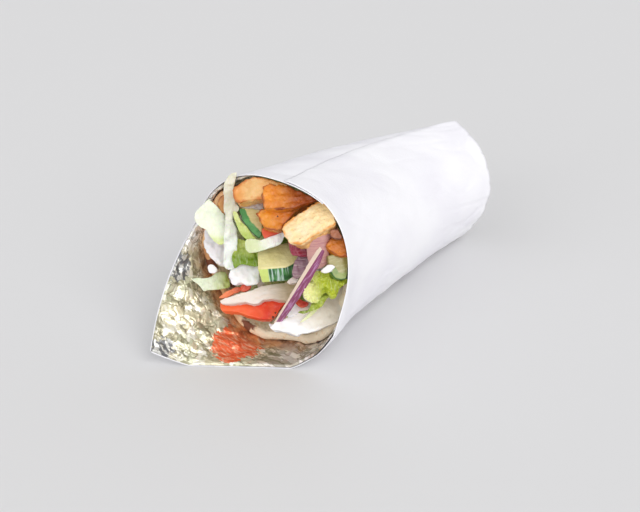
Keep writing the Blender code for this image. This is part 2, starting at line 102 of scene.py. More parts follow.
def vectors(tree, operation, first, second):
    """The vector that a vector operation gives."""
    place = "Scale" if operation == "SCALE" else 1
    made = add_node(tree, "ShaderNodeVectorMath", (0, first), (place, second), operation=operation)
    return made.outputs["Vector"]


world = bpy.data.worlds.new("studio")
bpy.context.scene.world = world
world.use_nodes = True
sky = world.node_tree
looking = add_node(sky, "ShaderNodeTexCoord").outputs["Generated"]
upward = add_node(sky, "ShaderNodeSeparateXYZ", ("Vector", looking)).outputs["Z"]
height = add_node(sky, "ShaderNodeMapRange", ("Value", upward), ("From Min", -1.0)).outputs["Result"]
ramp = add_node(sky, "ShaderNodeValToRGB", ("Fac", height))
room_shades = (
    (0.47, tint(206, 204, 200)),
    (0.56, tint(222, 222, 222)),
    (0.70, tint(236, 236, 236)),
    (1.0, tint(232, 232, 234)),
)
while len(ramp.color_ramp.elements) < len(room_shades):
    ramp.color_ramp.elements.new(0.5)
for element, (position, colour) in zip(ramp.color_ramp.elements, room_shades):
    element.position = position
    element.color = colour
room = ramp.outputs["Color"]
for direction, low, high, shade in (
    ((0.56, -0.70, 0.44), 0.90, 0.97, 0.12),
    ((-0.80, -0.55, 0.22), 0.93, 0.98, 0.25),
    ((0.05, -0.95, 0.30), 0.965, 0.99, 0.3),
):
    toward = Vector(direction).normalized()
    facing = add_node(sky, "ShaderNodeVectorMath", (0, looking), (1, toward), operation="DOT_PRODUCT")
    edges = (("From Min", low), ("From Max", high), ("To Min", 1.0), ("To Max", shade))
    dark = add_node(sky, "ShaderNodeMapRange", ("Value", facing.outputs["Value"]), *edges)
    room = vectors(sky, "SCALE", room, dark.outputs["Result"])
sky.links.new(room, sky.nodes["Background"].inputs["Color"])
sky.nodes["Background"].inputs["Strength"].default_value = ROOM_STRENGTH

for name, toward, spread, power, colour in (
    ("key_light", (0.76, -0.36, 0.58), 42.0, 1.6, (1.0, 0.99, 0.975)),
    ("front_light", (0.12, -0.95, 0.32), 48.0, 0.85, (1.0, 0.995, 0.985)),
    ("left_light", (-0.60, -0.55, 0.70), 55.0, 0.35, (0.97, 0.98, 1.0)),
):
    lamp = bpy.data.lights.new(name, "SUN")
    lamp.angle = math.radians(spread)
    lamp.energy = power
    lamp.color = colour
    light = bpy.data.objects.new(name, lamp)
    light.rotation_euler = Vector(toward).to_track_quat("Z", "Y").to_euler()
    bpy.context.scene.collection.objects.link(light)

bm = bmesh.new()
bmesh.ops.create_grid(bm, x_segments=1, y_segments=1, size=FLOOR_HALF)
bmesh.ops.translate(bm, vec=(0.0, 0.0, cad_low[2] - FLOOR_GAP), verts=bm.verts)
floor_mesh = bpy.data.meshes.new("floor")
bm.to_mesh(floor_mesh)
bm.free()
floor = bpy.data.objects.new("floor", floor_mesh)
bpy.context.scene.collection.objects.link(floor)
floor_finish = bpy.data.materials.new("pale_floor")
floor_finish.use_nodes = True
floor_shader = floor_finish.node_tree.nodes["Principled BSDF"]
floor_shader.inputs["Base Color"].default_value = tint(222, 222, 223)
floor_shader.inputs["Roughness"].default_value = 0.6
floor_mesh.materials.append(floor_finish)


# Paper: a square white sheet rolled round the wrap as a slightly bowed cone. One corner hangs out at the
# mouth as a flap, the free edge runs along the top, and the end is folded in at the tail.
TO_FRAME = Vector((-2.145, -5.404, 0.0))
MOUTH_Y = -51.0
TAIL_Y = 96.0
HALF_WIDE = 46.4
HALF_TALL = 45.0
WIDE_TAPER = 0.144
TALL_TAPER = 0.095
SETTLED = 0.965
MIDDLE_X = -2.8
MIDDLE_BOW = 0.0011
BOW_FROM_Y = 22.0
MOUTH_BULGE = 0.085
PRESSED_IN = 4.6
FLAP_ANGLE = 222.0
FLAP_LENGTH = 38.5
FLAP_SHIFT = 6.5
FLAP_TOP_SIDE = 66.0
FLAP_FLOOR_SIDE = 76.0
PAPER = 0.3
TURNS = 1.07
LAP_STEP = 0.8
LAP_LIFT = 3.2
LAP_ANGLES = (77.0, 89.0)
FOLD_FROM = 0.88


def ease(value, low, high):
    """0 below low, 1 above high, and an S curve between."""
    t = min(1.0, max(0.0, (value - low) / (high - low)))
    return t * t * (3.0 - 2.0 * t)


def wavy(x, y, z=0.0):
    """Smooth noise from -1 to 1."""
    return noise.noise(Vector((x, y, z)))


def hump(value, middle, width):
    """1 at the middle, falling away smoothly on both sides."""
    return math.exp(-(((value - middle) / width) ** 2))


def degrees_from(degrees, middle):
    """How far round from a middle angle, from -180 to 180."""
    return (degrees - middle + 180.0) % 360.0 - 180.0


def near_side(degrees):
    """Strongest at 35 degrees, where the near side of the mouth bulges, and 0 on the far side."""
    angle = math.radians(degrees)
    return math.sin(2.0 * angle) * max(0.0, math.cos(angle)) / 0.77


def section(y, degrees):
    """The roll's section at y: its middle x, the middle's height, and half its width and height."""
    along = y - MOUTH_Y
    bulge = 1.0 + MOUTH_BULGE * near_side(degrees) * (1.0 - ease(y, -35.0, 45.0))
    tall = HALF_TALL - TALL_TAPER * along
    middle_x = MIDDLE_X + MIDDLE_BOW * (max(y, MOUTH_Y) - BOW_FROM_Y) ** 2
    return middle_x, tall * SETTLED, (HALF_WIDE - WIDE_TAPER * along) * bulge, tall * bulge


def pressed_in(degrees, y):
    """How far the hand has pressed the near side of the mouth in, along X."""
    away = degrees_from(degrees, 10.0)
    if abs(away) > 41.0:
        return 0.0
    return PRESSED_IN * math.cos(math.radians(2.2 * away)) * (1.0 - ease(y, -46.0, 20.0))


def roll_point(degrees, y, depth, share=1.0, raised=0.0):
    """A point of the roll's wall. 0 degrees is +X, 90 the top and 270 the floor. depth is how far it lies
    under the paper's outer face, raised lifts it again, and share draws the section in to its middle."""
    angle = math.radians(degrees)
    middle_x, middle_z, wide, tall = section(y, degrees)
    inset = depth - raised
    x = middle_x + (wide - inset) * share * math.cos(angle) - pressed_in(degrees, y)
    z = middle_z + (tall - inset) * (0.35 + 0.65 * share) * math.sin(angle)
    beyond = (max(0.0, MOUTH_Y - y) / FLAP_LENGTH) ** 1.5
    return Vector((x - FLAP_SHIFT * beyond, y, max(z - FLAP_SHIFT * beyond, depth)))


def mouth_edge(degrees):
    """Where the sheet is cut at the mouth: a shallow wave, and the corner as a pointed flap."""
    away = degrees_from(degrees, FLAP_ANGLE)
    flap = max(0.0, 1.0 - away / FLAP_FLOOR_SIDE)
    if away < 0:
        flap = max(0.0, 1.0 + away / FLAP_TOP_SIDE) ** 1.3
    wave = 3.5 * math.cos(math.radians(degrees - 120.0)) + 3.5 * near_side(degrees)
    return MOUTH_Y + wave * (1.0 - flap) - FLAP_LENGTH * flap


def fold_wave(value):
    """A zigzag from 0 to 1."""
    return abs((value % 1.0) - 0.5) * 2.0


def crease(value, spacing, width):
    """A narrow ridge, 1 at its top, along every line where value is a whole number of spacings."""
    away = abs((value / spacing + 0.5) % 1.0 - 0.5) * spacing
    return max(0.0, 1.0 - away / width)


def paper_relief(degrees, y, front):
    """Soft creases: long shallow ones along the roll, and sharper ones where the hand pressed it."""
    on_floor = ease(-math.sin(math.radians(degrees)), 0.8, 1.0)
    round_mm = math.radians(degrees) * 42.0
    long_fold = wavy(round_mm / 17.0 + 0.05 * y, y / 75.0, 1.0)
    crumpled = abs(wavy(round_mm / 12.0 + y / 60.0, y / 19.0, 5.0))
    near_tail = ease(y, 45.0, 96.0)
    warp = 9.0 * wavy(round_mm / 30.0, y / 30.0, 7.0)
    rising = ease(wavy(round_mm / 25.0, y / 25.0, 3.0), 0.0, 0.4)
    falling = ease(wavy(round_mm / 20.0, y / 20.0, 9.0), 0.1, 0.5)
    lines = crease(0.75 * round_mm + 0.45 * y + warp, 34.0, 2.4) * rising
    lines += crease(0.5 * round_mm - 0.6 * y + warp, 27.0, 2.0) * falling
    dents = (0.9 + 1.3 * near_tail) * max(0.0, 0.22 - crumpled)
    relief = 0.5 * long_fold - dents - 0.3 * lines - 0.45
    return relief * ease(y - front, 0.0, 14.0) * (1.0 - 0.8 * on_floor)


def new_piece(name, bm, finish, slot, *nodes):
    """Turns a bmesh in drawing millimetres into a smooth piece of the model that stands for CAD nodes."""
    bmesh.ops.translate(bm, vec=TO_FRAME, verts=bm.verts)
    bmesh.ops.scale(bm, vec=(MM, MM, MM), verts=bm.verts)
    mesh = bpy.data.meshes.new(name)
    bm.to_mesh(mesh)
    bm.free()
    mesh.shade_smooth()
    mesh.materials.append(finish)
    piece = bpy.data.objects.new(name, mesh)
    bpy.context.scene.collection.objects.link(piece)
    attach(piece, "root")
    if nodes:
        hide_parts(*nodes)
    return piece


def sheet_grid(columns, rows, place):
    """A grid whose points are placed by place(across, along), each from 0 to 1."""
    bm = bmesh.new()
    bmesh.ops.create_grid(bm, x_segments=columns, y_segments=rows, size=1.0)
    for v in bm.verts:
        v.co = place(0.5 * (v.co.x + 1.0), 0.5 * (v.co.y + 1.0))
    bm.normal_update()
    return bm


def thicken(piece, millimetres):
    """Gives a sheet its thickness, on its inner side."""
    wall = piece.modifiers.new("thickness", "SOLIDIFY")
    wall.thickness = millimetres * MM
    wall.offset = -1.0


def paper_place(across, along):
    """across runs round the roll from the free edge, along from the mouth to the middle of the tail."""
    turn = TURNS * across
    share = min(1.0, along / FOLD_FROM) ** 1.15
    degrees = LAP_ANGLES[0] + (LAP_ANGLES[1] - LAP_ANGLES[0]) * share - 360.0 * turn
    front = mouth_edge(degrees)
    lean = 3.0 * math.sin(math.radians(degrees))
    corner = 2.4 * max(0.0, 1.0 - 8.0 * turn) ** 1.5 * share**6
    dent = 4.5 * hump(degrees, -38.0, 17.0) * share**8
    y = front + (TAIL_Y + lean + corner - dent - front) * share
    swell = 1.0 + 0.07 * hump(degrees, 20.0, 48.0) * share**4
    free_edge = max(0.0, 1.0 - 12.0 * turn) ** 1.5 * (0.12 + 0.88 * ease(turn, -0.004, 0.02))
    raised = LAP_STEP * (1.0 - turn) + LAP_LIFT * (0.15 + 0.85 * share**1.5) * free_edge
    relief = paper_relief(degrees, y, front)
    folded = max(0.0, along - FOLD_FROM) / (1.0 - FOLD_FROM)
    at_fold = ease(0.0, -0.25, 1.0)
    drawn = (ease(folded, -0.25, 1.0) - at_fold) / (1.0 - at_fold)
    pleat = fold_wave(degrees / 38.0 + 0.4 * folded + 0.5 * wavy(degrees / 60.0, 8.0)) - 0.5
    y += 1.2 * math.sin(math.pi * min(1.0, 1.6 * folded)) - 3.5 * folded**2
    y += 6.5 * pleat * folded * (1.0 - folded)
    return roll_point(degrees, y, 0.0, (1.0 - 0.998 * drawn) * swell, raised + relief * (1.0 - folded))


def group_of(name, *sockets):
    """A shader node group. Each socket is (name, in or out, kind, value it starts from)."""
    made = bpy.data.node_groups.new(name, "ShaderNodeTree")
    for title, way, kind, start in sockets:
        in_out = "INPUT" if way == "in" else "OUTPUT"
        socket = made.interface.new_socket(title, in_out=in_out, socket_type="NodeSocket" + kind)
        if start is not None:
            socket.default_value = start
    return made, made.nodes.new("NodeGroupInput"), made.nodes.new("NodeGroupOutput")


# Patches are soft-edged blotches of noise. The paper and every finish after it use them, for uneven colour,
# browning, veins, and painted shade, highlights and reflections.
patches, patches_in, patches_out = group_of(
    "patches",
    ("Vector", "in", "Vector", None),
    ("Scale", "in", "Float", 100.0),
    ("Detail", "in", "Float", 3.0),
    ("Low", "in", "Float", 0.4),
    ("High", "in", "Float", 0.6),
    ("Mask", "out", "Float", None),
)
given = patches_in.outputs
values = [(title, given[title]) for title in ("Vector", "Scale", "Detail")]
speckle = add_node(patches, "ShaderNodeTexNoise", *values)
cut_off = add_node(
    patches,
    "ShaderNodeMapRange",
    ("Value", speckle.outputs["Fac"]),
    ("From Min", given["Low"]),
    ("From Max", given["High"]),
    interpolation_type="SMOOTHSTEP",
)
patches.links.new(cut_off.outputs["Result"], patches_out.inputs["Mask"])


def patch_mask(tree, vector, scale, low=0.4, high=0.6, detail=3.0):
    """Blotches: 0 where the noise is at low, 1 at high."""
    values = (("Vector", vector), ("Scale", scale), ("Detail", detail), ("Low", low), ("High", high))
    return add_node(tree, "ShaderNodeGroup", *values, node_tree=patches).outputs["Mask"]


def blend(tree, mask, first, second):
    """first where the mask is 0, second where it is 1."""
    made = add_node(tree, "ShaderNodeMix", data_type="RGBA")
    for place, value in ((0, mask), (6, first), (7, second)):
        if isinstance(value, bpy.types.NodeSocket):
            tree.links.new(value, made.inputs[place])
        else:
            made.inputs[place].default_value = value
    return made.outputs[2]


def sums(tree, operation, first, second=0.5):
    """The number that a maths operation gives."""
    return add_node(tree, "ShaderNodeMath", (0, first), (1, second), operation=operation).outputs[0]


def cover(tree, mask, share, first, second):
    """As blend, but second covers first by no more than its share."""
    return blend(tree, sums(tree, "MULTIPLY", mask, share), first, second)


def between(tree, value, low, high):
    """0 where the value is at low, 1 at high, smooth between. low may be the larger."""
    ends = (("Value", value), ("From Min", low), ("From Max", high))
    return add_node(tree, "ShaderNodeMapRange", *ends, interpolation_type="SMOOTHSTEP").outputs["Result"]


def stretched(tree, vector, scale, turn=(0.0, 0.0, 0.0)):
    """A vector for patches that are long one way."""
    made = add_node(tree, "ShaderNodeMapping", ("Vector", vector), ("Scale", scale), ("Rotation", turn))
    return made.outputs["Vector"]


def axes_of(tree, vector):
    """The X, Y and Z outputs of a vector."""
    return add_node(tree, "ShaderNodeSeparateXYZ", ("Vector", vector)).outputs


def start_finish(name, **values):
    """A new material: its node tree, its shader, and the vector of the object's own coordinates."""
    made = bpy.data.materials.new(name)
    made.use_nodes = True
    tree = made.node_tree
    shader = tree.nodes["Principled BSDF"]
    for title, value in values.items():
        shader.inputs[title.replace("_", " ")].default_value = value
    where = add_node(tree, "ShaderNodeTexCoord").outputs["Object"]
    return made, tree, shader, where


def attribute_of(tree, name, output="Fac"):
    """A value that the mesh carries on its points."""
    return add_node(tree, "ShaderNodeAttribute", attribute_name=name).outputs[output]


def dress(tree, shader, colour, height, strength, distance):
    """Sets the colour, and low relief from a height that changes over the surface. distance is in metres."""
    tree.links.new(colour, shader.inputs["Base Color"])
    values = (("Height", height), ("Strength", strength), ("Distance", distance))
    made = add_node(tree, "ShaderNodeBump", *values)
    tree.links.new(made.outputs["Normal"], shader.inputs["Normal"])


paper_finish, tree, shader, where = start_finish("white_paper", Roughness=0.62)
fibres = patch_mask(tree, where, 900.0, 0.3, 0.7, 4.0)
wrinkles = patch_mask(tree, where, 110.0, 0.35, 0.75)
shade = patch_mask(tree, where, 28.0, 0.3, 0.75, 2.0)
colour = blend(tree, shade, tint(250, 250, 254), tint(241, 240, 247))
dress(tree, shader, colour, sums(tree, "ADD", fibres, wrinkles), 0.25, 0.0002)
bm = sheet_grid(250, 124, paper_place)
paper = new_piece("paper_sheet", bm, paper_finish, "white_paper", "paper_wrapper")
thicken(paper, PAPER)


# Foil: the bright skin glued to the paper's inner face. It was crumpled before it was rolled, so it is full
# of sharp folds. Dark reflections are painted along creases, and dark and bright ones on facets. Fat has
# dulled it to cream, and an orange reflection of the tomato and a brown one of the bread are painted on it.
FOIL = 0.1
FOIL_UNDER = 0.5
FOIL_END_Y = TAIL_Y - 16.0
TOMATO_REFLECTION_AT = (-15.5, -59.0, 3.0)
GREY_FLECKED_AT = (((-45.3, -62.0, 39.0), 8.5), ((-38.6, -86.0, 7.5), 7.5))


def crumple(degrees, y):
    """How far the foil stands in from the paper, in millimetres."""
    a = math.radians(degrees) * 45.0
    warp_a = 5.0 * wavy(a / 13.0, y / 13.0, 2.0) + 1.0 * wavy(a / 4.0, y / 4.0, 3.0)
    warp_b = 5.0 * wavy(a / 13.0, y / 13.0, 9.0) + 1.0 * wavy(a / 4.0, y / 4.0, 7.0)
    level = 0.8 * a + 0.59 * y
    across = -0.59 * a + 0.8 * y
    broad = fold_wave((0.25 * level + 0.97 * across + 1.4 * warp_a) / 11.0)
    slant = fold_wave((0.9 * level - 0.4 * across + 1.4 * warp_b) / 10.0)
    facets = noise.voronoi(
        Vector(((0.9 * a + 0.43 * y + warp_a) / 6.0, (0.9 * y - 0.43 * a + warp_b) / 4.5, 0.0)),
        distance_metric="MANHATTAN",
    )[0]
    strong = ease(wavy(a / 12.0, y / 12.0, 4.0), -0.25, 0.25)
    lines = crease(across + 0.9 * warp_b, 3.1, 0.75) * (0.35 + 0.65 * strong)
    lines += 0.8 * crease(0.85 * level - 0.5 * across + 1.3 * warp_a, 8.0, 0.8) * strong
    return 0.75 * broad + 0.5 * slant + 0.6 * facets[0] + 0.26 * lines


def foil_place(across, along):
    """One turn of foil, with its columns closest together on the flap. It ends before the folded tail."""
    turn = across - 0.09 * math.sin(2.0 * math.pi * (across - 0.6)) - 0.053
    degrees = LAP_ANGLES[0] - 360.0 * turn
    edge = mouth_edge(degrees)
    covered = max(0.0, math.cos(math.radians(0.85 * degrees_from(degrees, 35.0))))
    front = edge + 0.15 + 5.0 * covered**2
    y = front + (FOIL_END_Y - front) * along**2.4
    flat = (0.15 + 0.85 * ease(y - front, 0.0, 0.8)) * (1.0 - 0.7 * covered)
    follows = LAP_STEP * (1.0 - turn) * ease(turn, 0.3, 0.4) * (1.0 - ease(y - front, 2.0, 9.0))
    follows += paper_relief(degrees, y, edge)
    return roll_point(degrees, y, FOIL_UNDER + crumple(degrees, y) * flat, 1.0, follows)


def near_to(tree, where, spot, low, high, rough, squash=(1.0, 1.0, 1.0)):
    """1 round a drawn point and 0 away from it, with a ragged border. low, high and rough are millimetres."""
    away = vectors(tree, "SUBTRACT", where, (Vector(spot) + TO_FRAME) * MM)
    away = vectors(tree, "MULTIPLY", away, squash)
    away = add_node(tree, "ShaderNodeVectorMath", (0, away), operation="LENGTH").outputs["Value"]
    torn = patch_mask(tree, stretched(tree, where, (0.6, 1.5, 1.0)), 330.0, 0.3, 0.7, 4.0)
    torn = sums(tree, "MULTIPLY", torn, rough * MM)
    return between(tree, sums(tree, "ADD", away, torn), high * MM, low * MM)


foil_finish, tree, shader, where = start_finish("foil", Roughness=0.27, Metallic=0.42)
axes = axes_of(tree, where)
fat = patch_mask(tree, where, 75.0, 0.42, 0.62, 2.0)
colour = blend(tree, fat, tint(240, 232, 202), tint(212, 212, 184))
colour = blend(tree, between(tree, axes["Z"], 0.042, 0.052), colour, tint(255, 253, 255))
colour = blend(tree, between(tree, axes["X"], -0.008, 0.008), colour, tint(222, 214, 210))
bent = add_node(tree, "ShaderNodeTexNoise", ("Vector", where), ("Scale", 120.0), ("Detail", 4.0))
bent = vectors(tree, "SCALE", bent.outputs["Color"], 0.016)
bent = vectors(tree, "ADD", stretched(tree, where, (0.55, 1.4, 1.2), (0.0, 0.0, 0.64)), bent)
shards = add_node(
    tree, "ShaderNodeTexVoronoi", ("Vector", bent), ("Scale", 145.0), feature="DISTANCE_TO_EDGE"
).outputs["Distance"]
# Painted dark reflections along some of the creases.
somewhere = patch_mask(tree, where, 90.0, 0.40, 0.52, 2.0)
lines = sums(tree, "MULTIPLY", between(tree, shards, 0.08, 0.02), somewhere)
colour = cover(tree, lines, 0.6, colour, tint(110, 102, 74))
# Painted reflections on the facets: some cells darker, some nearly white.
slanted = vectors(tree, "ADD", stretched(tree, where, (0.5, 1.9, 1.0), (0.3, 0.5, 0.5)), bent)
cells = add_node(tree, "ShaderNodeTexVoronoi", ("Vector", slanted), ("Scale", 165.0), distance="MANHATTAN")
facing = axes_of(tree, cells.outputs["Color"])["X"]
colour = cover(tree, between(tree, facing, 0.78, 0.86), 0.55, colour, tint(136, 128, 96))
colour = cover(tree, between(tree, facing, 0.25, 0.15), 0.7, colour, tint(255, 252, 240))
# Painted shade in long patches.
shaded = patch_mask(tree, stretched(tree, where, (0.35, 1.5, 1.0), (0.0, 0.0, 0.9)), 190.0, 0.54, 0.59)
colour = cover(tree, shaded, 0.65, colour, tint(122, 116, 88))
# Painted reflection of the tomato: an orange patch with paler streaks on the flap, just below the slice.
painted_tomato_reflection = near_to(tree, where, TOMATO_REFLECTION_AT, 13.2, 14.0, 5.0, (1.0, 0.9, 0.8))
streaks = patch_mask(tree, stretched(tree, where, (0.5, 2.2, 1.0), (0.0, 0.0, 0.5)), 420.0, 0.48, 0.66)
reflected_red = cover(tree, streaks, 0.6, tint(244, 104, 54), tint(255, 206, 170))
colour = cover(tree, painted_tomato_reflection, 0.92, colour, reflected_red)
# Two patches on the flap are greyer, with dark bluish flecks.
grey_flecked = sums(tree, "MAXIMUM", *[near_to(tree, where, spot, size, size + 1.5, 4.0) for spot, size in GREY_FLECKED_AT])
flecks = patch_mask(tree, stretched(tree, where, (0.8, 1.2, 0.8), (0.4, 0.3, 0.5)), 520.0, 0.46, 0.60, 2.0)
colour = cover(tree, grey_flecked, 0.9, colour, blend(tree, flecks, tint(96, 98, 106), tint(214, 214, 210)))
# Painted reflection of the bread: warm brown on the foil in front of it.
bread_reflection_colour = blend(tree, patch_mask(tree, where, 300.0, 0.35, 0.65), tint(214, 156, 104), tint(150, 88, 54))
colour = cover(tree, attribute_of(tree, "painted_bread_reflection"), 0.8, colour, bread_reflection_colour)
dress(tree, shader, colour, sums(tree, "MINIMUM", shards, 0.22), 0.7, 0.0012)
foil = new_piece("foil_skin", sheet_grid(340, 136, foil_place), foil_finish, "foil", "foil_lining")
thicken(foil, FOIL)


# Pita: one round flatbread folded round the filling, open along the top. It is puffy, pale and blistered
# inside, toasted on its outside and at the rim on the far side.
PITA_FROM = 130.0
PITA_TO = 362.0
PITA_UNDER = 2.1
PITA_THICK = 5.0
PITA_FRONT_Y = -47.0
PITA_BACK_Y = 84.0
RIM_ROUND = 2.2
RIM_SHARE = 0.12
BLISTERS_AT = (((-16.0, -49.5, 8.5), 5.2), ((-37.5, -49.0, 35.0), 6.5), ((-1.0, -43.0, 4.0), 2.6))


def pita_front(degrees):
    """Where the bread's rim lies: furthest out low at the left, and set back under the sauce."""
    front = PITA_FRONT_Y + 3.0 * wavy(degrees / 40.0, 4.0) + 6.0 * ease(degrees, 300.0, PITA_TO)
    front -= 3.5 * hump(degrees, 234.0, 20.0)
    front += 4.5 * hump(degrees, 282.0, 20.0)
    return front + 0.9 * wavy(degrees / 9.0, 1.0)


def pita_place(across, along):
    """along runs up the outer face to the rim, round it, and down the inner face."""
    degrees = PITA_FROM + (PITA_TO - PITA_FROM) * across
    from_end = min(degrees - PITA_FROM, PITA_TO - degrees) * 0.75
    end = math.sqrt(max(0.0, 1.0 - (1.0 - min(1.0, from_end / 2.6)) ** 2))
    front = pita_front(degrees) + 2.5 * (1.0 - end)
    inner = along > 0.5
    far = min(1.0, abs(along - 0.5) / 0.5)
    back_part = max(0.0, (far - RIM_SHARE) / (1.0 - RIM_SHARE))
    turn = min(1.0, far / RIM_SHARE) * math.pi / 2.0
    half = 0.5 * PITA_THICK * end
    y = front + RIM_ROUND * (1.0 - math.cos(turn)) + (PITA_BACK_Y - front - RIM_ROUND) * back_part**1.8
    depth = PITA_UNDER + 0.5 * PITA_THICK + half * math.sin(turn) * (1.0 if inner else -1.0)
    round_mm = math.radians(degrees) * 42.0
    puff = 0.8 * wavy(round_mm / 11.0, y / 12.0, 6.0) + 0.35 * wavy(round_mm / 4.0, y / 4.0, 2.0)
    if inner:
        depth += puff * math.sin(turn) * end
    else:
        depth += 0.25 * (puff + 0.5) * math.sin(turn)
    return roll_point(degrees, y, max(depth, PITA_UNDER - 0.3))


bread_finish, tree, shader, where = start_finish("toasted_bread", Roughness=0.75)
blisters = patch_mask(tree, where, 105.0, 0.64, 0.70, 2.0)
for spot, size in BLISTERS_AT:
    middle = (Vector(spot) + TO_FRAME) * MM
    away = add_node(tree, "ShaderNodeVectorMath", (0, where), (1, middle), operation="DISTANCE")
    ragged = sums(tree, "MULTIPLY", patch_mask(tree, where, 260.0, 0.3, 0.7, 4.0), 0.0035)
    dark = between(tree, sums(tree, "ADD", away.outputs["Value"], ragged), size * MM, 0.7 * size * MM)
    blisters = sums(tree, "MAXIMUM", blisters, dark)
freckles = patch_mask(tree, where, 420.0, 0.55, 0.75)
crumb = blend(tree, freckles, tint(255, 242, 216), tint(246, 214, 170))
crumb = blend(tree, blisters, crumb, tint(134, 82, 60))
streaks = patch_mask(tree, stretched(tree, where, (1.0, 0.5, 0.6)), 230.0, 0.35, 0.7, 4.0)
crust = blend(tree, streaks, tint(246, 202, 150), tint(208, 136, 84))
crust = blend(tree, blisters, crust, tint(122, 68, 44))
far_rim = sums(tree, "ADD", attribute_of(tree, "far_rim"), 0.18)
toast = between(tree, sums(tree, "MULTIPLY", attribute_of(tree, "outside"), far_rim), 0.05, 0.8)
pores = patch_mask(tree, where, 600.0, 0.35, 0.65, 5.0)
relief = sums(tree, "ADD", pores, sums(tree, "MULTIPLY", blisters, 1.6))
dress(tree, shader, blend(tree, toast, crumb, crust), relief, 0.5, 0.0005)
bm = sheet_grid(210, 120, pita_place)
bmesh.ops.remove_doubles(bm, verts=bm.verts, dist=0.02)
bmesh.ops.recalc_face_normals(bm, faces=bm.faces)
pita = new_piece("pita_bread", bm, bread_finish, "bread", "pita")


def set_values(piece, name, measure):
    """Stores a value from 0 to 1 on every point. measure gets the point in drawing millimetres."""
    mesh = piece.data
    values = [measure(v.co / MM - TO_FRAME) for v in mesh.vertices]
    mesh.attributes.new(name, "FLOAT", "POINT").data.foreach_set("value", values)


def angle_and_depth(p):
    """Where a point lies round the roll, in degrees, and how far under the paper."""
    middle_x, middle_z, wide, tall = section(p.y, 0.0)
    degrees = math.degrees(math.atan2((p.z - middle_z) / tall, (p.x - middle_x) / wide)) % 360.0
    _, _, wide, tall = section(p.y, degrees)
    radius = math.hypot((p.x + pressed_in(degrees, p.y) - middle_x) / wide, (p.z - middle_z) / tall)
    return degrees, (1.0 - radius) * 0.5 * (wide + tall)


def on_outside(p):
    """1 on the bread's outer face, and nearly so round its rim."""
    degrees, depth = angle_and_depth(p)
    rim = 1.0 - ease(p.y - pita_front(degrees), 0.2, 2.6)
    return max(1.0 - ease(depth, PITA_UNDER + 1.4, PITA_UNDER + 3.2), 0.8 * rim)


def on_far_rim(p):
    """1 on the far side of the mouth, where the bread is toasted."""
    degrees, _ = angle_and_depth(p)
    return 1.0 - ease(degrees, 205.0, 262.0)


def painted_bread_reflection(p):
    """Painted reflection of the bread: strong on the foil just in front of it, and only low at the left."""
    degrees, _ = angle_and_depth(p)
    ahead = pita_front(max(degrees, PITA_FROM)) - p.y
    left = ease(degrees, 170.0, 205.0) * (1.0 - ease(degrees, 262.0, 300.0))
    return left * (1.0 - ease(ahead + 1.5 * wavy(p.x / 3.0, p.y / 3.0, p.z / 3.0), 2.0, 8.0))


set_values(pita, "outside", on_outside)
set_values(pita, "far_rim", on_far_rim)
set_values(foil, "painted_bread_reflection", painted_bread_reflection)


# Packed salad: what shows deep between the pieces at the mouth, shaded greens with sauce on them. It is the
# CAD's own solid, with its front made uneven and its end drawn clear of the folded tail.
FRONT_PART_Y = -20.0
TAIL_PART_Y = 66.0
core_finish, tree, shader, where = start_finish("packed_salad", Roughness=0.4)
greens = blend(tree, patch_mask(tree, where, 160.0), tint(196, 206, 140), tint(120, 142, 52))
sauced = patch_mask(tree, where, 95.0, 0.5, 0.62, 2.0)
greens = blend(tree, sauced, greens, tint(230, 226, 222))
dress(tree, shader, greens, patch_mask(tree, where, 240.0, 0.3, 0.7, 4.0), 0.8, 0.001)
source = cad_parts["salad_core"]
bm = bmesh.new()
bm.from_mesh(source.data)
bmesh.ops.transform(bm, matrix=source.matrix_world, verts=bm.verts)
bmesh.ops.remove_doubles(bm, verts=bm.verts, dist=0.00001)
bmesh.ops.scale(bm, vec=(1.0 / MM, 1.0 / MM, 1.0 / MM), verts=bm.verts)
bmesh.ops.translate(bm, vec=-TO_FRAME, verts=bm.verts)
front_edges = [e for e in bm.edges if any(f.calc_center_median().y < FRONT_PART_Y for f in e.link_faces)]
bmesh.ops.subdivide_edges(bm, edges=front_edges, cuts=5, use_grid_fill=True)
bm.normal_update()
for v in bm.verts:
    x, y, z = v.co
    lump = 1.6 * wavy(x / 4.0, z / 4.0, y / 4.0) + 0.8 * wavy(x / 1.8, z / 1.8, y / 1.8)
    degrees, depth = angle_and_depth(v.co)
    v.co.x -= pressed_in(degrees, y) * (1.0 - ease(depth, 5.0, 30.0))
    v.co.y -= 0.55 * max(0.0, y - TAIL_PART_Y)
    v.co -= v.normal * (1.4 + lump) * (1.0 - ease(y, -30.0, -18.0))
bmesh.ops.triangulate(bm, faces=bm.faces)
new_piece("packed_salad", bm, core_finish, "lettuce_pale", "salad_core")


# Fries and wedges: cut potato, fried pale gold on the broad faces and brown and crisp along the edges, and
# stuck into the top of the salad. Each is drawn as the outline of its front face, in its own plane, and cut
# back from it. LEVEL is the level direction that runs across the view.
LEVEL = (0.80, 0.60, 0.0)
FAR_OFF = 1e9


def frame_of(run, face):
    """The three directions of a piece's own drawing: along it, up its face, and out of its face."""
    x = Vector(run).normalized()
    z = Vector(face)
    z = (z - x * z.dot(x)).normalized()
    return x, z.cross(x), z


def rounded_outline(outline, steps):
    """More points along a smooth curve through the outline's corners."""
    made = []
    count = len(outline)
    for i in range(count):
        a, b, c, d = [Vector(outline[(i + k - 1) % count]) for k in range(4)]
        for step in range(steps):
            t = step / steps
            squared = (2.0 * a - 5.0 * b + 4.0 * c - d) * t**2
            cubed = (3.0 * b - a - 3.0 * c + d) * t**3
            made.append(0.5 * (2.0 * b + (c - a) * t + squared + cubed))
    return made


